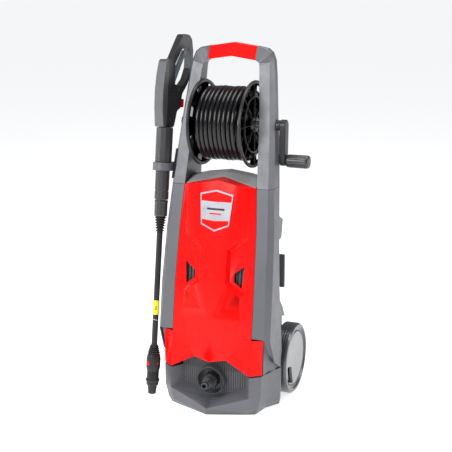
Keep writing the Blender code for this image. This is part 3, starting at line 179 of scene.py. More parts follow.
FINISH = {
    "red_plastic": plastic("red_gloss_plastic", (0.92, 0.0035, 0.0025), (0.24, 0.28), 700.0, 0.02, 0.012,
                           mirror=0.16),
    "grey_plastic": plastic("grey_pearl_plastic", (0.112, 0.115, 0.128), (0.34, 0.44), 1400.0, 0.06, 0.05,
                            0.15),
    "light_grey_plastic": plastic("light_grey_plastic", (0.135, 0.138, 0.148), (0.30, 0.40), 1100.0, 0.05,
                                  0.06, 0.15),
    "black_plastic": plastic("black_plastic", (0.017, 0.017, 0.019), (0.30, 0.42), 1200.0, 0.10, 0.15,
                             mirror=0.36),
    "hub_black": plastic("black_hub_plastic", (0.035, 0.035, 0.038), (0.25, 0.36), 1000.0, 0.06, 0.12),
    "hub_grey": plastic("grey_hub_plastic", (0.29, 0.29, 0.30), (0.34, 0.44), 1200.0, 0.05, 0.05, 0.1),
    "wheel_plastic": plastic("glossy_wheel_plastic", (0.055, 0.057, 0.064), (0.18, 0.28), 900.0, 0.05, 0.08,
                             0.1, 0.2),
    "rubber": plastic("matt_rubber", (0.016, 0.016, 0.017), (0.50, 0.64), 800.0, 0.18, 0.15, mirror=0.3),
    "hose_rubber": plastic("smooth_hose_rubber", (0.006, 0.006, 0.007), (0.17, 0.25), 500.0, 0.04, 0.15,
                           mirror=0.42),
    # on the inlet pocket's ribs this dark grey stands in for painted shade
    "dark_grey": plastic("dark_grey_plastic", (0.055, 0.056, 0.062), (0.42, 0.55), 1000.0, 0.10, 0.08, 0.1),
    "steel": plastic("machined_steel", (0.56, 0.56, 0.57), (0.24, 0.40), 1200.0, 0.06, 0.05, 1.0, 0.0,
                     (1, 1, 30)),
    "brass": plastic("turned_brass", (0.72, 0.50, 0.22), (0.24, 0.38), 900.0, 0.05, 0.06, 1.0),
    "aluminium": plastic("cast_aluminium", (0.60, 0.60, 0.61), (0.40, 0.55), 500.0, 0.25, 0.06, 1.0),
    "badge": plastic("silver_paint", (0.44, 0.45, 0.49), (0.26, 0.36), 1500.0, 0.06, 0.05, 0.5),
    "trigger_grey": plastic("slate_trigger_plastic", (0.16, 0.20, 0.23), (0.32, 0.42), 900.0, 0.05, 0.08),
    "yellow_label": plastic("yellow_film", (0.90, 0.80, 0.02), (0.34, 0.42), 600.0, 0.02, 0.03),
    "gun_black": plastic("satin_gun_plastic", (0.024, 0.024, 0.026), (0.26, 0.36), 1200.0, 0.06, 0.12),
    "gun_grey": plastic("gun_shell_plastic", (0.082, 0.084, 0.090), (0.30, 0.40), 1200.0, 0.06, 0.06, 0.1),
    "barrel_black": plastic("barrel_plastic", (0.034, 0.034, 0.037), (0.34, 0.44), 1200.0, 0.08, 0.12),
    # lid: lighter than the other grey mouldings, as painted sheen of its glossy slope
    "lid_painted_sheen_grey": plastic("lid_grey_plastic", (0.36, 0.362, 0.37), (0.22, 0.32), 1200.0, 0.04, 0.05, 0.1),
    "clear_tie": plastic("clear_nylon", (0.72, 0.72, 0.70), (0.25, 0.35), 400.0, 0.03, 0.03),
}


# ---------------------------------------------------------------- mesh helpers
NEARLY_STRAIGHT = math.radians(172)  # corners flatter than this stay as they are
MOST_CUT = 0.46                      # of an outline's side, that a corner's curve may take
WELD, FLAT = 2e-6, math.radians(0.8)
SMOOTH_TURNED, SMOOTH_MOULDED = 38, 40


def fillet(points, radius, steps=4, closed=True):
    """Outline with each corner replaced by a small curve."""
    out = []
    count = len(points)
    for i, point in enumerate(points):
        here = Vector(point)
        if not closed and i in (0, count - 1):
            out.append(here)
            continue
        before, after = Vector(points[i - 1]) - here, Vector(points[(i + 1) % count]) - here
        turn = before.angle(after) if before.length > 1e-9 and after.length > 1e-9 else math.pi
        if turn > NEARLY_STRAIGHT:
            out.append(here)
            continue
        cut = min(radius / math.tan(turn / 2), MOST_CUT * before.length, MOST_CUT * after.length)
        start, end = here + before.normalized() * cut, here + after.normalized() * cut
        for k in range(steps + 1):
            t = k / steps
            out.append(start * (1 - t) ** 2 + here * 2 * t * (1 - t) + end * t ** 2)
    return out


def in_scene(name, data):
    """New object in the scene for a mesh, a curve, a lamp or a camera."""
    made = bpy.data.objects.new(name, data)
    bpy.context.scene.collection.objects.link(made)
    return made


def in_mesh(name, bm, place=None):
    """New object in the scene from a bmesh, with its faces turned outwards."""
    if place:
        bm.transform(place)
    bmesh.ops.recalc_face_normals(bm, faces=bm.faces)
    mesh = bpy.data.meshes.new(name)
    bm.to_mesh(mesh)
    bm.free()
    return in_scene(name, mesh)


def piece(name, bm, finish, body, stands_for=(), smooth=32, place=None):
    """Turns a bmesh into a visible piece that rides on a body."""
    made = in_mesh(name, bm, place)
    made.data.materials.append(FINISH[finish])
    made.data.shade_smooth()
    made.data.set_sharp_from_angle(angle=math.radians(smooth))
    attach(made, body)
    if stands_for:
        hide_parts(*stands_for)
    return made


def round_edges(made, width, segments=3, angle=30):
    """Rounds every edge that is sharper than the angle, with a modifier."""
    edge = made.modifiers.new("edges", "BEVEL")
    edge.width = width
    edge.segments = segments
    edge.limit_method = "ANGLE"
    edge.angle_limit = math.radians(angle)
    edge.use_clamp_overlap = True
    edge.miter_outer = "MITER_ARC"
    edge.harden_normals = True


def soften(node, width, finish, segments=3, angle=24):
    """The CAD shape of a node with its edges rounded as a mould leaves them."""
    body = NODES[node]["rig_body"]
    bm = bmesh.new()
    bm.from_mesh(NODES[node].data)
    bmesh.ops.remove_doubles(bm, verts=bm.verts, dist=WELD)
    bmesh.ops.dissolve_limit(bm, angle_limit=FLAT, verts=bm.verts, edges=bm.edges)
    round_edges(piece(node + "_moulded", bm, finish, body, (node,), angle + 8), width, segments, angle)


def lathe(profile, sides=64, wave=0.0, waves=0, span=(None, None)):
    """Turned solid about z from (radius, height) pairs; a wave makes flutes between two heights."""
    bm = bmesh.new()
    rings = []
    for r, h in profile:
        if r < 1e-6:
            rings.append([bm.verts.new((0, 0, h))])
            continue
        fluted = waves and span[0] <= h <= span[1]
        ring = []
        for i in range(sides):
            a = 2 * math.pi * i / sides
            rr = r - (wave * max(0.0, math.cos(waves * a)) if fluted else 0.0)
            ring.append(bm.verts.new((rr * math.cos(a), rr * math.sin(a), h)))
        rings.append(ring)
    for low, high in zip(rings, rings[1:]):
        for i in range(sides):
            j = (i + 1) % sides
            corners = [low[i % len(low)], low[j % len(low)], high[j % len(high)], high[i % len(high)]]
            unique = [c for k, c in enumerate(corners) if c not in corners[:k]]
            if len(unique) > 2:
                bm.faces.new(unique)
    return bm


def turned(name, profile, finish, body, place, radius=0.0008, sides=64, stands_for=(), slot=None, **flutes):
    """Turned piece whose profile has its corners rounded."""
    soft = fillet(profile, radius, 3, closed=False) if radius else [Vector(p) for p in profile]
    shape = lathe([(p[0], p[1]) for p in soft], sides, **flutes)
    return piece(name, shape, finish, body, stands_for, SMOOTH_TURNED, place)


def join_rings(bm, front, back, keep=None):
    """Side faces between two rings with the same count; keep(i, j) may leave some out."""
    count = len(front)
    for i in range(count):
        j = (i + 1) % count
        if keep is None or keep(i, j):
            bm.faces.new((front[i], front[j], back[j], back[i]))


def add_prism(bm, front, back, keep=None):
    """Adds the closed solid between two matching outlines to a bmesh."""
    front, back = [bm.verts.new(p) for p in front], [bm.verts.new(p) for p in back]
    join_rings(bm, front, back, keep)
    bm.faces.new(front)
    bm.faces.new(back)


def prism(front, back):
    """New bmesh with the closed solid between two matching outlines."""
    bm = bmesh.new()
    add_prism(bm, front, back)
    return bm


def slab(outline, low, high):
    """Flat outline in x and z, pushed through y."""
    return prism([(p[0], low, p[1]) for p in outline], [(p[0], high, p[1]) for p in outline])


def hollow(made, bm, name, place=None):
    """Cuts a closed shape out of a piece and applies the cut."""
    tool = in_mesh(name, bm, place)
    step = made.modifiers.new("cut", "BOOLEAN")
    step.operation = "DIFFERENCE"
    step.solver = "EXACT"
    step.object = tool
    bpy.context.view_layer.update()
    shape = bpy.data.meshes.new_from_object(made.evaluated_get(bpy.context.evaluated_depsgraph_get()))
    made.modifiers.remove(step)
    made.data = shape
    bpy.data.objects.remove(tool)


def block(bm, low, high, turn=Matrix.Identity(4)):
    """Adds a box to a bmesh, given by two corners and turned about the origin."""
    size = [b - a for a, b in zip(low, high)]
    middle = [(a + b) / 2 for a, b in zip(low, high)]
    shape = turn @ Matrix.Translation(middle) @ Matrix.Diagonal((*size, 1.0))
    bmesh.ops.create_cube(bm, size=1.0, matrix=shape)


def surface_of(node):
    """Search tree over a CAD node's faces, for casting rays."""
    bm = bmesh.new()
    bm.from_mesh(NODES[node].data)
    tree = BVHTree.FromBMesh(bm)
    bm.free()
    return tree


# ---------------------------------------------------------------- camera, light and floor
def make_camera():
    """Camera at the height and angle that the object is shown from."""
    data = bpy.data.cameras.new("camera")
    data.lens = CAMERA_LENS
    data.sensor_width = CAMERA_SENSOR
    camera = in_scene("camera", data)
    camera.location = CAMERA_AT
    camera.rotation_euler = (math.pi / 2 - CAMERA_ELEVATION, 0, CAMERA_AZIMUTH)
    bpy.context.scene.camera = camera


def make_lamp(name, at, target, size, power):
    """Soft rectangular lamp that looks at its target."""
    data = bpy.data.lights.new(name, "AREA")
    data.shape = "RECTANGLE"
    data.size, data.size_y = size
    data.energy = power
    lamp = in_scene(name, data)
    lamp.location = at
    lamp.rotation_euler = (Vector(target) - Vector(at)).to_track_quat("-Z", "Y").to_euler()


def make_world(scene):
    """White backdrop; the light that it gives is dimmer than it looks, as a studio's far wall is."""
    world = bpy.data.worlds.new("studio")
    world.use_nodes = True
    tree = world.node_tree
    backdrop = tree.nodes["Background"]
    backdrop.inputs["Color"].default_value = (1.0, 1.0, 1.0, 1.0)
    backdrop.inputs["Strength"].default_value = BACKDROP
    fill = tree.nodes.new("ShaderNodeBackground")
    fill.inputs["Color"].default_value = (0.94, 0.96, 1.0, 1.0)
    fill.inputs["Strength"].default_value = AMBIENT
    path = tree.nodes.new("ShaderNodeLightPath")
    choose = tree.nodes.new("ShaderNodeMixShader")
    tree.links.new(path.outputs["Is Camera Ray"], choose.inputs[0])
    tree.links.new(fill.outputs[0], choose.inputs[1])
    tree.links.new(backdrop.outputs[0], choose.inputs[2])
    tree.links.new(choose.outputs[0], tree.nodes["World Output"].inputs["Surface"])
    scene.world = world


def make_studio():
    """Four soft lamps, the world and a pale floor that glows a little, so that it stays even."""
    scene = bpy.context.scene
    scene.view_settings.view_transform = "Standard"
    make_world(scene)
    make_lamp("front_left_box", (-0.95, -2.40, 1.85), (0, 0, 0.55), (1.0, 1.3), 62)
    make_lamp("left_strip", (-2.30, -0.70, 1.00), (0, 0, 0.5), (0.5, 1.7), 15)
    make_lamp("right_box", (2.40, 0.80, 1.30), (0, 0, 0.5), (0.9, 1.8), 30)
    make_lamp("top_box", (0.1, 0.2, 2.8), (0, 0, 0.5), (1.4, 1.4), 34)
    bm = bmesh.new()
    bmesh.ops.create_grid(bm, x_segments=2, y_segments=2, size=FLOOR_HALF)
    mesh = bpy.data.meshes.new("floor")
    bm.to_mesh(mesh)
    bm.free()
    floor = in_scene("floor", mesh)
    pale = plastic("pale_floor", (0.88, 0.88, 0.88), (0.70, 0.80), 40.0, 0.01, 0.01)
    shader = pale.node_tree.nodes["Principled BSDF"]
    shader.inputs["Emission Color"].default_value = (1.0, 1.0, 1.0, 1.0)
    shader.inputs["Emission Strength"].default_value = FLOOR_GLOW
    floor.data.materials.append(pale)


# ---------------------------------------------------------------- hose
def hose_points():
    """Two layers of turns over the drum, then a short rise into the end fitting at the rear."""
    points = []
    total = round(HOSE_TURNS * HOSE_STEPS)
    width = HOSE_HIGH_X - HOSE_LOW_X
    low_layer, high_layer = HOSE_LAYERS
    climb = HOSE_STEPS // 3
    for i in range(total + 1):
        a = HOSE_START + 2 * math.pi * i / HOSE_STEPS
        points.append((HOSE_LOW_X + width * i / total, low_layer, a))
    for i in range(1, total + 1):
        a = HOSE_START + 2 * math.pi * (total + i) / HOSE_STEPS
        rise = min(1.0, i / climb)
        r = low_layer + (high_layer - low_layer) * rise * rise * (3 - 2 * rise)
        r += rise * SLACK * (1 + math.sin(2 * math.pi * i / (HOSE_STEPS * SLACK_TURNS))) / 2
        points.append((HOSE_HIGH_X - width * i / total, r, a))
    return [Vector((x, REEL.y + r * math.cos(a), REEL.z + r * math.sin(a))) for x, r, a in points]


def make_hose():
    """Hose from the wound turns along a smooth tail into its brass end fitting."""
    points = hose_points()
    last = points[-1]
    end = Vector((FITTING_X, REEL.y + FITTING_OUT, REEL.z - FITTING_FOOT))
    before = last + (last - points[-2]).normalized() * TAIL_HANDLE
    after = end - Vector((0, 0, TAIL_HANDLE))
    for i in range(1, TAIL_STEPS + 1):
        t = i / TAIL_STEPS
        u = 1 - t
        points.append(last * u ** 3 + before * 3 * t * u ** 2 + after * 3 * t * t * u + end * t ** 3)
    curve = bpy.data.curves.new("pressure_hose", "CURVE")
    curve.dimensions = "3D"
    curve.bevel_depth = HOSE_D / 2
    curve.bevel_resolution = 5
    curve.use_fill_caps = True
    spline = curve.splines.new("POLY")
    spline.points.add(len(points) - 1)
    for target, point in zip(spline.points, points):
        target.co = (*point, 1.0)
    curve.materials.append(FINISH["hose_rubber"])
    hose = in_scene("pressure_hose", curve)
    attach(hose, "reel")
    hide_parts("hose_coil")
    spot = Matrix.Translation((FITTING_X, REEL.y + FITTING_OUT, REEL.z))
    ferrule = [(0, -0.0185), (0.0062, -0.0185), (0.0072, -0.0175), (0.0072, -0.004), (0.0084, -0.003),
               (0.0084, 0.0115), (0.0072, 0.0125), (0.0046, 0.0125), (0.0046, 0.0165), (0.0030, 0.0165),
               (0.0030, 0.006), (0, 0.006)]
    fitting = turned("hose_end_fitting", ferrule, "brass", "reel", spot, 0.0005, 48, ("hose_fitting",), None,
                     wave=0.0006, waves=12, span=(-0.0025, 0.0110))


# ---------------------------------------------------------------- reel
def make_flange(name, x, d):
    """Spoked side of the reel: thin disc with windows, a thick rim, a ring at the drum and ribs.

    d is the direction away from the hose, 1 or -1.
    """
    radii = (0.0082, 0.026, 0.045, 0.0665, 0.0800, 0.0920, 0.0950, FLANGE_R - 0.001)
    bm = bmesh.new()
    angles = [2 * math.pi * i / FLANGE_SIDES for i in range(FLANGE_SIDES)]
    rings = [[bm.verts.new((r * math.cos(a), r * math.sin(a), 0)) for a in angles] for r in radii]
    share = FLANGE_SIDES // FLANGE_WINDOWS
    for band, (low, high) in enumerate(zip(rings, rings[1:])):
        open_steps = WINDOW_STEPS if band in WINDOW_BANDS else ()
        join_rings(bm, low, high, lambda i, j: i % share not in open_steps)
    bmesh.ops.solidify(bm, geom=bm.faces[:], thickness=FLANGE_THICKNESS)
    place = Matrix.Translation((x, REEL.y, REEL.z)) @ TO_X
    disc = piece(name + "_disc", bm, "black_plastic", "reel", (name,), 30, place)
    round_edges(disc, 0.0006, 2)
    rim = [(FLANGE_RIM_R, 0.0), (FLANGE_RIM_R, d * 0.0042), (FLANGE_R, d * 0.0058),
           (FLANGE_R + 0.0004, d * 0.0018), (FLANGE_R - 0.0010, -d * 0.0012), (FLANGE_RIM_R, 0.0)]
    turned(name + "_rim", rim, "black_plastic", "reel", place, 0.0008, 128)
    ring = [(0.0640, 0.0), (0.0640, d * 0.0038), (0.0675, d * 0.0038), (0.0675, 0.0)]
    turned(name + "_ring", ring, "black_plastic", "reel", place, 0.0005, 96)
    hub = [(0.0085, 0.0), (0.0085, d * 0.0085), (0.0165, d * 0.0085), (0.0190, 0.0)]
    turned(name + "_hub", hub, "hub_black", "reel", place, 0.0008, 64)
    ribs = bmesh.new()
    low_face, high_face = sorted((0, d * 0.0036))
    for i in range(FLANGE_WINDOWS):
        turn = Matrix.Rotation(2 * math.pi * i / FLANGE_WINDOWS, 4, "Z")
        for low_r, high_r in ((0.066, 0.0960), (0.018, 0.0650)):
            block(ribs, (low_r, -0.0008, low_face), (high_r, 0.0008, high_face), turn)
    piece(name + "_ribs", ribs, "black_plastic", "reel", (), 30, place)


def make_reel():
    """Both flanges, the drum's skin, the axle and its bushes."""
    make_flange("reel_flange_left", -0.0645, -1)
    make_flange("reel_flange_right", 0.0592, 1)
    drum = [(0.058, -0.0612), (0.0672, -0.0612), (0.0672, 0.0572), (0.058, 0.0572)]
    turned("drum_skin", drum, "black_plastic", "reel", Matrix.Translation(REEL) @ TO_X, 0.0006, 96,
           ("reel_drum",))
    soften("reel_axle", 0.0006, "steel")
    for side in ("left", "right"):
        soften("reel_bush_" + side, 0.0008, "hub_black")


def make_crank():
    """Crank's arm and its fluted handle."""
    soften("crank_arm", 0.0022, "black_plastic", 4)
    low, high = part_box("crank_grip")
    middle = Vector((0, (low.y + high.y) / 2, (low.z + high.z) / 2))
    start, end, r = low.x, high.x, (high.z - low.z) / 2
    profile = [(0.0048, start + 0.0005), (r * 0.80, start + 0.0005), (r * 0.96, start + 0.003),
               (r, start + 0.008), (r, end - 0.007), (r * 0.94, end - 0.0015), (r * 0.70, end), (0.0, end)]
    turned("crank_handle", profile, "gun_black", "crank_grip", Matrix.Translation(middle) @ TO_X, 0.0022, 96,
           ("crank_grip",), "hub_black", wave=0.0011, waves=12, span=(start + 0.009, end - 0.006))


# ---------------------------------------------------------------- body
def make_emblem():
    """Silver shield with red fields above and below a plain silver band, and two plain bars."""
    soften("emblem_plate", 0.0006, "badge", 2, 20)
    face = surface_of("emblem_plate")
    sunk = -0.0004

    def on_face(x, z, lift):
        hit = face.ray_cast(Vector((x, -0.5, z)), Vector((0, 1, 0)))[0]
        return Vector((x, hit.y - lift, z))

    def field(name, half, finish, lift):
        """Thin plate on the shield, from the right half of its outline; open along the middle."""
        bm = bmesh.new()
        for side in (1, -1):
            front, back = [[on_face(side * x, z, height) for x, z in half] for height in (lift, sunk)]
            add_prism(bm, front, back, lambda i, j: half[i][0] or half[j][0])
        bmesh.ops.remove_doubles(bm, verts=bm.verts, dist=1e-6)
        piece(name, bm, finish, "chassis", (), 20)

    field("shield_top_field", [(0, 0.5325), (0.0385, 0.5228), (0.0376, 0.5085), (0, 0.5085)], "red_plastic",
          0.0005)
    field("shield_low_field", [(0, 0.4640), (0.0336, 0.4662), (0.0328, 0.4565), (0, 0.4436)], "red_plastic",
          0.0005)
    field("shield_bar_dark", [(0, 0.4935), (0.022, 0.4935), (0.022, 0.4890), (0, 0.4890)], "black_plastic",
          0.0003)
    field("shield_bar_red", [(0, 0.4820), (0.015, 0.4820), (0.015, 0.4790), (0, 0.4790)], "red_plastic",
          0.0003)


def make_lid():
    """Lid behind the cover: its front edge follows the cover's roof, and it rises to a low ridge."""
    low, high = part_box("top_cap")
    edge = high.x
    sharing = (-1.0, -0.62, 0.0, 0.62, 1.0)
    ridge = (0.0, 0.53, 1.0, 0.53, 0.0)
    rise = 0.0152
    rows = [[(f * edge, 0.0393 - 0.0238 * abs(f), 0.5612 - 0.0190 * abs(f)) for f in sharing]]
    for y, z in ((0.050, 0.5535), (0.054, 0.5550), (0.088, 0.5550), (high.y, 0.5470)):
        rows.append([(f * edge, y, z + rise * part) for f, part in zip(sharing, ridge)])
    bm = bmesh.new()
    top = [[bm.verts.new(p) for p in row] for row in rows]
    foot = [[bm.verts.new((p[0], p[1], low.z + 0.0002)) for p in row] for row in rows]
    for grid in (top, foot):
        for a, b in zip(grid, grid[1:]):
            for k in range(len(sharing) - 1):
                bm.faces.new((a[k], a[k + 1], b[k + 1], b[k]))
    for end in (0, -1):
        for k in range(len(sharing) - 1):
            bm.faces.new((top[end][k], top[end][k + 1], foot[end][k + 1], foot[end][k]))
        for r in range(len(rows) - 1):
            bm.faces.new((top[r][end], top[r + 1][end], foot[r + 1][end], foot[r][end]))
    # its lighter grey is painted sheen of the glossy slope
    lid = piece("top_lid", bm, "lid_painted_sheen_grey", "chassis", ("top_cap",), 26)
    round_edges(lid, 0.0008, 3, 12)


def make_flank_infill():
    """Inner skin behind the slot between each column's foot and the base."""
    corners = [(0.1253, -0.0325, 0.1905), (0.1368, -0.0300, 0.1925), (0.1418, -0.0095, 0.1480),
               (0.1432, 0.0360, 0.1010), (0.1258, -0.0220, 0.1000)]
    for side, name in ((1, "right"), (-1, "left")):
        bm = bmesh.new()
        outer = [bm.verts.new((side * x, y, z)) for x, y, z in corners]
        inner = [bm.verts.new((side * (x - 0.0020), y + 0.0006, z)) for x, y, z in corners]
        for ring in (outer, inner):
            middle = bm.verts.new(sum((v.co for v in ring), Vector()) / len(ring))
            for k in range(len(ring)):
                bm.faces.new((ring[k], ring[(k + 1) % len(ring)], middle))
        join_rings(bm, outer, inner)
        piece("flank_skin_" + name, bm, "grey_plastic", "chassis", (), 40)


def make_body():
    """Covers, frame, base and the small parts on them, with rounded edges."""
    soften("front_cover", 0.0013, "red_plastic", 4, 9)
    for side in ("left", "right"):
        soften("side_panel_" + side, 0.0014, "grey_plastic", 3, 16)
    soften("handle_frame", 0.0026, "grey_plastic", 4, 18)
    soften("handle_grip", 0.0022, "red_plastic", 4, 20)
    soften("base_tray", 0.0012, "grey_plastic", 3, 16)
    make_lid()
    make_flank_infill()
    soften("rear_housing", 0.0014, "grey_plastic", 3, 18)
    soften("air_grille", 0.0005, "dark_grey", 2, 30)
    soften("cable_hook", 0.0016, "grey_plastic", 3)
    soften("power_knob", 0.0010, "red_plastic", 3)
    soften("gun_holder", 0.0009, "grey_plastic", 3, 40)
    soften("cord_gland", 0.0004, "rubber", 2, 40)
    make_emblem()
    make_screws()


def make_screws():
    """Domed screw heads on the rear housing, in three rows of two."""
    head = [(0.0, 0.0016), (0.0030, 0.0014), (0.0042, 0.0004), (0.0042, -0.0004), (0.0, -0.0004)]
    spots = [(side * SCREW_X, z) for z in SCREW_ROWS for side in (-1, 1)]
    for i, (x, z) in enumerate(spots):
        spot = Matrix.Translation((x, SCREW_FACE_Y, z)) @ TO_Y
        turned("housing_screw_%d" % i, head, "steel", "chassis", spot, 0.0003, 32)


# ---------------------------------------------------------------- base pocket and inlet
def make_pocket_ribs():
    """Upright ribs on the back wall of the inlet's pocket, and the wall's part behind the cover; their dark
    grey is painted shade of the pocket under the cover.
    """
    middle_y, edge_y, edge_x = -0.0360, -0.0284, 0.079
    floor_middle, floor_edge = 0.0304, 0.0601
    pitch, width, proud, wall_foot, top = 0.0056, 0.0026, 0.0020, 0.0985, 0.1340
    bm = bmesh.new()
    count = int(edge_x / pitch)
    for i in range(-count, count + 1):
        x = i * pitch
        share = abs(x) / edge_x
        y = middle_y + (edge_y - middle_y) * share
        z = floor_middle + (floor_edge - floor_middle) * share
        block(bm, (x - width / 2, y - proud, z + 0.001), (x + width / 2, y + 0.0004, top))
        block(bm, (x - pitch / 2, y, wall_foot), (x + pitch / 2, y + 0.0030, top))
    # dark grey rather than the base's grey: painted shade that falls in the pocket under the cover
    piece("pocket_ribs", bm, "dark_grey", "chassis", (), 30)


def make_inlet():
    """Ring round the water inlet, its union nut and the stepped nipple with a seal."""
    place = Matrix.Translation(INLET) @ TO_Y
    ring = [(0.0326, -0.0362), (0.0326, -0.0505), (0.0340, -0.0505), (0.0340, -0.0362), (0.0326, -0.0362)]
    turned("shroud_ring", ring, "grey_plastic", "chassis", place, 0.0, 96, ("inlet_shroud",), "black_plastic")
    rim = [(0.0322, -0.0500), (0.0322, -0.0520), (0.0332, -0.0528), (0.0343, -0.0520), (0.0343, -0.0500),
           (0.0322, -0.0500)]
    turned("shroud_lip", rim, "dark_grey", "chassis", place, 0.0003, 96, (), "black_plastic")
    nut = [(0.0, -0.030), (0.0165, -0.030), (0.0195, -0.034), (0.0195, -0.0545), (0.0170, -0.0578),
           (0.0, -0.0578)]
    turned("inlet_union_nut", nut, "black_plastic", "chassis", place, 0.0006, 72, ("inlet_nut",), None,
           wave=0.0016, waves=6, span=(-0.0550, -0.0335))
    nipple = [(0.0, -0.050), (0.0125, -0.050), (0.0125, -0.0600), (0.0108, -0.0615), (0.0108, -0.0640),
              (0.0122, -0.0655), (0.0122, -0.0690), (0.0100, -0.0705), (0.0100, -0.0735), (0.0112, -0.0748),
              (0.0112, -0.0780), (0.0092, -0.0795), (0.0092, -0.0890), (0.0080, -0.0912), (0.0052, -0.0912),
              (0.0052, -0.0600), (0.0, -0.0600)]
    turned("inlet_stepped_nipple", nipple, "hub_black", "chassis", place, 0.0004, 64, ("inlet_nipple",),
           "black_plastic")
    seal = [(0.0108, -0.0612), (0.0119, -0.0618), (0.0119, -0.0636), (0.0108, -0.0642)]
    turned("inlet_seal_ring", seal, "rubber", "chassis", place, 0.0003, 48)


# ---------------------------------------------------------------- wheels
def make_wheel(side):
    """Grooved tread, glossy rim ring and a dished cap with a finger slot."""
    sign = 1 if side == "right" else -1
    body = "wheel_" + side
    place = Matrix.Translation((0, WHEEL_Y, WHEEL_R)) @ TO_X @ Matrix.Diagonal((1, 1, sign, 1))
    out, inner = WHEEL_OUT_X, WHEEL_OUT_X - WHEEL_W
    tread = []
    first, last = inner + 0.006, out - 0.008
    for i in range(TREAD_GROOVES):
        h = first + (last - first) * i / (TREAD_GROOVES - 1)
        tread += [(WHEEL_R, h - 0.0011), (WHEEL_R - GROOVE_DEPTH, h - 0.0006),
                  (WHEEL_R - GROOVE_DEPTH, h + 0.0006), (WHEEL_R, h + 0.0011)]
    profile = [(0.0065, inner), (0.0700, inner), (0.0830, inner), (WHEEL_R - 0.001, inner + 0.003)] + tread
    profile += [(WHEEL_R, out - 0.005), (WHEEL_R - 0.0040, out - 0.0006), (WHEEL_R - 0.0070, out),
                (WHEEL_R - 0.0110, out - 0.0006), (WHEEL_R - 0.0140, out - 0.0036),
                (HUB_R + 0.0014, out - 0.0052), (HUB_R + 0.0006, out - 0.0140), (0.0220, out - 0.0160),
                (0.0065, out - 0.0160), (0.0065, inner)]
    turned("tyre_" + side, profile, "wheel_plastic", body, place, 0.0010, 128, ("wheel_" + side,))
    cap = [(0.0, out - 0.0064), (0.020, out - 0.0060), (0.045, out - 0.0046), (0.0600, out - 0.0034),
           (HUB_R - 0.002, out - 0.0034), (HUB_R, out - 0.0052), (HUB_R, out - 0.0115), (0.0, out - 0.0115)]
    made = turned("wheel_cap_" + side, cap, "hub_grey", body, place, 0.0012, 128, ("hub_cap_" + side,),
                  "hub_black")
    slot = fillet([(-0.062, -0.004), (-0.022, -0.016), (-0.015, -0.064), (-0.051, -0.047)], 0.006, 5)
    ends = [[(sign * x, WHEEL_Y + p.x, WHEEL_R + p.y) for p in slot] for x in (out - 0.0135, out + 0.01)]
    hollow(made, prism(*ends), "slot_tool_" + side)
    round_edges(made, 0.0006, 2, 40)


# ---------------------------------------------------------------- gun and lance
def gun_plate(name, outline, corners, half, finish, body, node):
    """Flat moulding on the gun's middle plane; corners are (radius, steps), half is half its thickness."""
    shape = slab(fillet(outline, *corners), -half, half)
    return piece(name, shape, finish, body, (node,), SMOOTH_MOULDED, LANCE_FRAME)


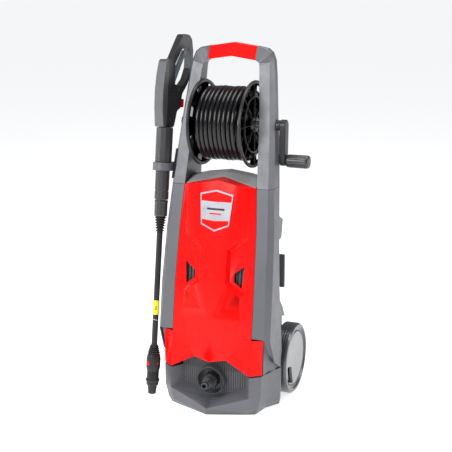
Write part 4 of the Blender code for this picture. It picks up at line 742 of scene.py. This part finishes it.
def make_gun():
    """Gun with its guard, back shell, trigger, safety catch, grip ribs and screws."""
    at = LANCE_FRAME
    outline = [(-0.0095, 0.0935), (0.0195, 0.0935), (0.0240, 0.1120), (0.0285, 0.1340), (0.0400, 0.1420),
               (0.0425, 0.1680), (0.0440, 0.1760), (0.0600, 0.2000), (0.0755, 0.2340), (0.0750, 0.2810),
               (0.0690, 0.3080), (0.0590, 0.3185), (0.0380, 0.3185), (0.0220, 0.2880), (0.0060, 0.2560),
               (-0.0085, 0.2515), (-0.0085, 0.1020)]
    body = gun_plate("gun_moulding", outline, (0.010, 5), 0.0104, "gun_black", "gun", "gun_body")
    finger = fillet([(0.0140, 0.1965), (0.0400, 0.1940), (0.0560, 0.2120), (0.0660, 0.2400), (0.0660, 0.2760),
                     (0.0580, 0.2920), (0.0360, 0.2820), (0.0150, 0.2450)], 0.010, 5)
    slot = fillet([(0.0045, 0.1880), (0.0330, 0.1880), (0.0330, 0.2100), (0.0200, 0.2320), (0.0045, 0.2260)],
                  0.002, 3)
    pocket = [(0.0245, 0.1430), (0.07, 0.1430), (0.07, 0.1650), (0.0245, 0.1650)]
    for name, hole, half in (("finger_tool", finger, 0.03), ("trigger_tool", slot, 0.0062),
                             ("safety_tool", pocket, 0.0050)):
        hollow(body, slab(hole, -half, half), name, at)
    round_edges(body, 0.0042, 5, 40)
    shell = [(-0.0088, 0.1030), (-0.0088, 0.2515), (-0.0130, 0.2550), (-0.0180, 0.2490), (-0.0235, 0.2200),
             (-0.0268, 0.1800), (-0.0258, 0.1400), (-0.0215, 0.1000), (-0.0205, 0.0940), (-0.0095, 0.0940)]
    made = gun_plate("gun_back_shell", shell, (0.006, 4), 0.0146, "gun_grey", "gun", "gun_shell")
    round_edges(made, 0.0068, 7, 40)
    lever = [(0.0110, 0.1970), (0.0200, 0.1950), (0.0290, 0.2150), (0.0420, 0.2450), (0.0540, 0.2710),
             (0.0555, 0.2800), (0.0505, 0.2815), (0.0350, 0.2520), (0.0210, 0.2250), (0.0120, 0.2100)]
    made = gun_plate("trigger_lever", lever, (0.004, 4), 0.0054, "trigger_grey", "trigger", "trigger")
    round_edges(made, 0.0016, 4, 40)
    catch = [(0.0290, 0.1436), (0.0555, 0.1436), (0.0573, 0.1465), (0.0573, 0.1615), (0.0555, 0.1644),
             (0.0290, 0.1644)]
    made = gun_plate("safety_catch", catch, (0.002, 3), 0.0045, "red_plastic", "safety_button",
                     "safety_button")
    round_edges(made, 0.0012, 3, 40)
    ribs = bmesh.new()
    count, foot, pitch, width = 6, 0.171, 0.0058, 0.0022
    for i in range(count):
        v = foot + pitch * i
        block(ribs, (0.0035, -0.0112, v), (0.0175, 0.0112, v + width))
    made = piece("gun_grip_ribs", ribs, "gun_black", "gun", (), 30, at)
    round_edges(made, 0.0005, 2)
    head = [(0.0, 0.0113), (0.0026, 0.0112), (0.0032, 0.0104), (0.0032, 0.0096), (0.0, 0.0096)]
    for k, (u, v) in enumerate(((0.004, 0.1120), (0.004, 0.2380), (0.0320, 0.1850))):
        for side, mark in ((-1, "a"), (1, "b")):
            spot = at @ Matrix.Translation((u, 0, v)) @ Matrix.Rotation(math.radians(-90 * side), 4, "X")
            turned("gun_screw_%d_%s" % (k, mark), head, "hub_black", "gun", spot, 0.0003, 24)


def make_barrel():
    """Barrel sleeves, collar, bellows and pipe of the lance, with its label and tie."""
    at = LANCE_FRAME
    upper = [(0.0, 0.0932), (0.0190, 0.0932), (0.0203, 0.0912), (0.0203, 0.0120), (0.0203, 0.0100),
             (0.0, 0.0100)]
    made = turned("barrel_sleeve", upper, "barrel_black", "gun", at @ BARREL_TURN, 0.0, 10, ("gun_barrel",),
                  "black_plastic")
    round_edges(made, 0.0022, 4, 20)
    neck = [(0.0, 0.0860), (0.0140, 0.0860), (0.0140, 0.1000), (0.0, 0.1000)]
    turned("barrel_neck", neck, "black_plastic", "gun", at, 0.0004, 48)
    lower = [(0.0, 0.0099), (0.0171, 0.0099), (0.0171, -0.0550), (0.0164, -0.0565), (0.0164, -0.0600),
             (0.0171, -0.0615), (0.0171, -0.0790), (0.0, -0.0790)]
    made = turned("barrel_lower_sleeve", lower, "barrel_black", "gun", at @ BARREL_TURN, 0.0, 12, (),
                  "black_plastic")
    round_edges(made, 0.0012, 3, 20)
    collar = [(0.0, -0.0806), (0.0154, -0.0806), (0.0163, -0.0830), (0.0163, -0.0860), (0.0157, -0.0870),
              (0.0157, -0.1160), (0.0150, -0.1200), (0.0, -0.1200)]
    turned("lance_collar_ring", collar, "hub_black", "gun", at, 0.0008, 64, ("lance_collar",),
           "black_plastic")
    boot_top, boot_length, ribs = -0.1210, 0.0375, 6
    boot = [(0.0074, boot_top)]
    pitch = boot_length / ribs
    for i in range(ribs):
        top = boot_top - pitch * i
        r = 0.0142 - 0.0008 * i
        deep = r - 0.0036
        boot += [(deep, top), (r, top - pitch * 0.28), (r, top - pitch * 0.50), (deep, top - pitch * 0.78)]
    boot += [(0.0086, -0.1590), (0.0074, -0.1592)]
    turned("lance_bellows", boot, "rubber", "gun", at, 0.0005, 64, ("lance_boot",))
    pipe_r, film_r = 0.0072, 0.0077
    tube = [(0.0, -0.1203), (pipe_r, -0.1203), (pipe_r, -0.4350), (0.0, -0.4350)]
    turned("lance_pipe", tube, "black_plastic", "gun", at, 0.0, 48, ("lance_tube",))
    label = [(pipe_r, -0.3250), (film_r, -0.3251), (film_r, -0.3599), (pipe_r, -0.3600)]
    turned("lance_label", label, "yellow_label", "gun", at, 0.0, 48)
    mark = bmesh.new()
    block(mark, (-0.0010, -0.0084, -0.3480), (0.0010, -0.0070, -0.3380))
    turn = Matrix.Rotation(math.radians(LABEL_SIDE - LANCE_TURN), 4, "Z")
    piece("label_mark", mark, "black_plastic", "gun", (), 30, at @ turn)
    bpy.ops.mesh.primitive_torus_add(major_radius=0.0088, minor_radius=0.0006, major_segments=48,
                                     minor_segments=8)
    loop = bpy.context.object
    loop.name = "lance_tie"
    loop.data.materials.append(FINISH["clear_tie"])
    loop.matrix_world = at @ Matrix.Translation((-0.0015, 0.0, -0.3740)) @ Matrix.Rotation(0.35, 4, "Y")
    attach(loop, "gun")


def make_nozzle():
    """Ribbed head with its release button and red dot, and the tip that twists."""
    at = LANCE_FRAME
    button_at = at @ Matrix.Translation((0, 0, NOZZLE_BUTTON_AT))
    head = [(0.0, -0.4355), (0.0096, -0.4355)]
    rings, pitch = 4, 0.0048
    for i in range(rings):
        top = -0.4375 - pitch * i
        r = 0.0103 + 0.0012 * i
        deep, proud = r - 0.0014, r + 0.0012
        head += [(deep, top), (proud, top - 0.0014), (proud, top - 0.0026), (deep, top - 0.0042)]
    head += [(0.0152, -0.4585), (0.0163, -0.4630), (0.0173, -0.4690), (0.0173, -0.4880), (0.0164, -0.4940),
             (0.0150, -0.4985), (0.0147, -0.5018), (0.0, -0.5018)]
    made = turned("nozzle_housing", head, "black_plastic", "gun", at, 0.0007, 72, ("nozzle_head",), None,
                  wave=0.0008, waves=10, span=(-0.4885, -0.4685))
    button = lathe([(0.0, 0.01), (0.0051, 0.01), (0.0051, -0.01), (0.0, -0.01)], 32)
    hollow(made, button, "button_tool", at @ Matrix.Translation((-0.0235, 0, NOZZLE_BUTTON_AT)) @ TO_X)
    cap = [(0.0, -0.0014), (0.0036, -0.0014), (0.0045, -0.0006), (0.0045, 0.0042), (0.0, 0.0042)]
    turned("nozzle_release", cap, "red_plastic", "nozzle_button",
           at @ Matrix.Translation((-0.0175, 0, NOZZLE_BUTTON_AT)) @ TO_X, 0.0004, 32, ("nozzle_button",))
    dot = [(0.0, 0.0177), (0.0016, 0.0177), (0.0020, 0.0170), (0.0, 0.0160)]
    around = Matrix.Rotation(math.radians(LABEL_SIDE - LANCE_TURN + MARK_PAST_LABEL), 4, "Z")
    outwards = Matrix.Rotation(math.radians(90), 4, "X")
    turned("nozzle_mark", dot, "red_plastic", "gun", button_at @ (around @ outwards), 0.0002, 24)
    tip = [(0.0, -0.5026), (0.0146, -0.5026), (0.0148, -0.5180), (0.0160, -0.5195), (0.0171, -0.5205),
           (0.0171, -0.5242), (0.0158, -0.5255), (0.0150, -0.5290), (0.0152, -0.5310), (0.0140, -0.5350),
           (0.0118, -0.5360), (0.0110, -0.5400), (0.0096, -0.5560), (0.0080, -0.5568), (0.0040, -0.5568),
           (0.0034, -0.5460), (0.0, -0.5450)]
    turned("nozzle_twist_cap", tip, "black_plastic", "nozzle_tip", at, 0.0006, 72, ("nozzle_tip",), None,
           wave=0.0009, waves=12, span=(-0.5250, -0.5195))


# ---------------------------------------------------------------- CAD nodes that stay, and their finish
KEPT = {
    "steel": ("axle", "motor_stator", "motor_rotor", "swash_plate", "piston_1", "piston_2", "piston_3"),
    "brass": ("pump_head",),
    "aluminium": ("pump_block", "swash_housing", "capacitor"),
    "black_plastic": ("cooling_fan", "switch_box"),
    "rubber": ("foot_left", "foot_right"),
}


def main():
    make_camera()
    make_hose()
    make_studio()
    make_reel()
    make_crank()
    make_body()
    make_pocket_ribs()
    make_inlet()
    for side in ("left", "right"):
        make_wheel(side)
    make_gun()
    make_barrel()
    make_nozzle()
    for finish, nodes in KEPT.items():
        for node in nodes:
            NODES[node].data.materials.clear()
            NODES[node].data.materials.append(FINISH[finish])


main()
bpy.context.view_layer.update()
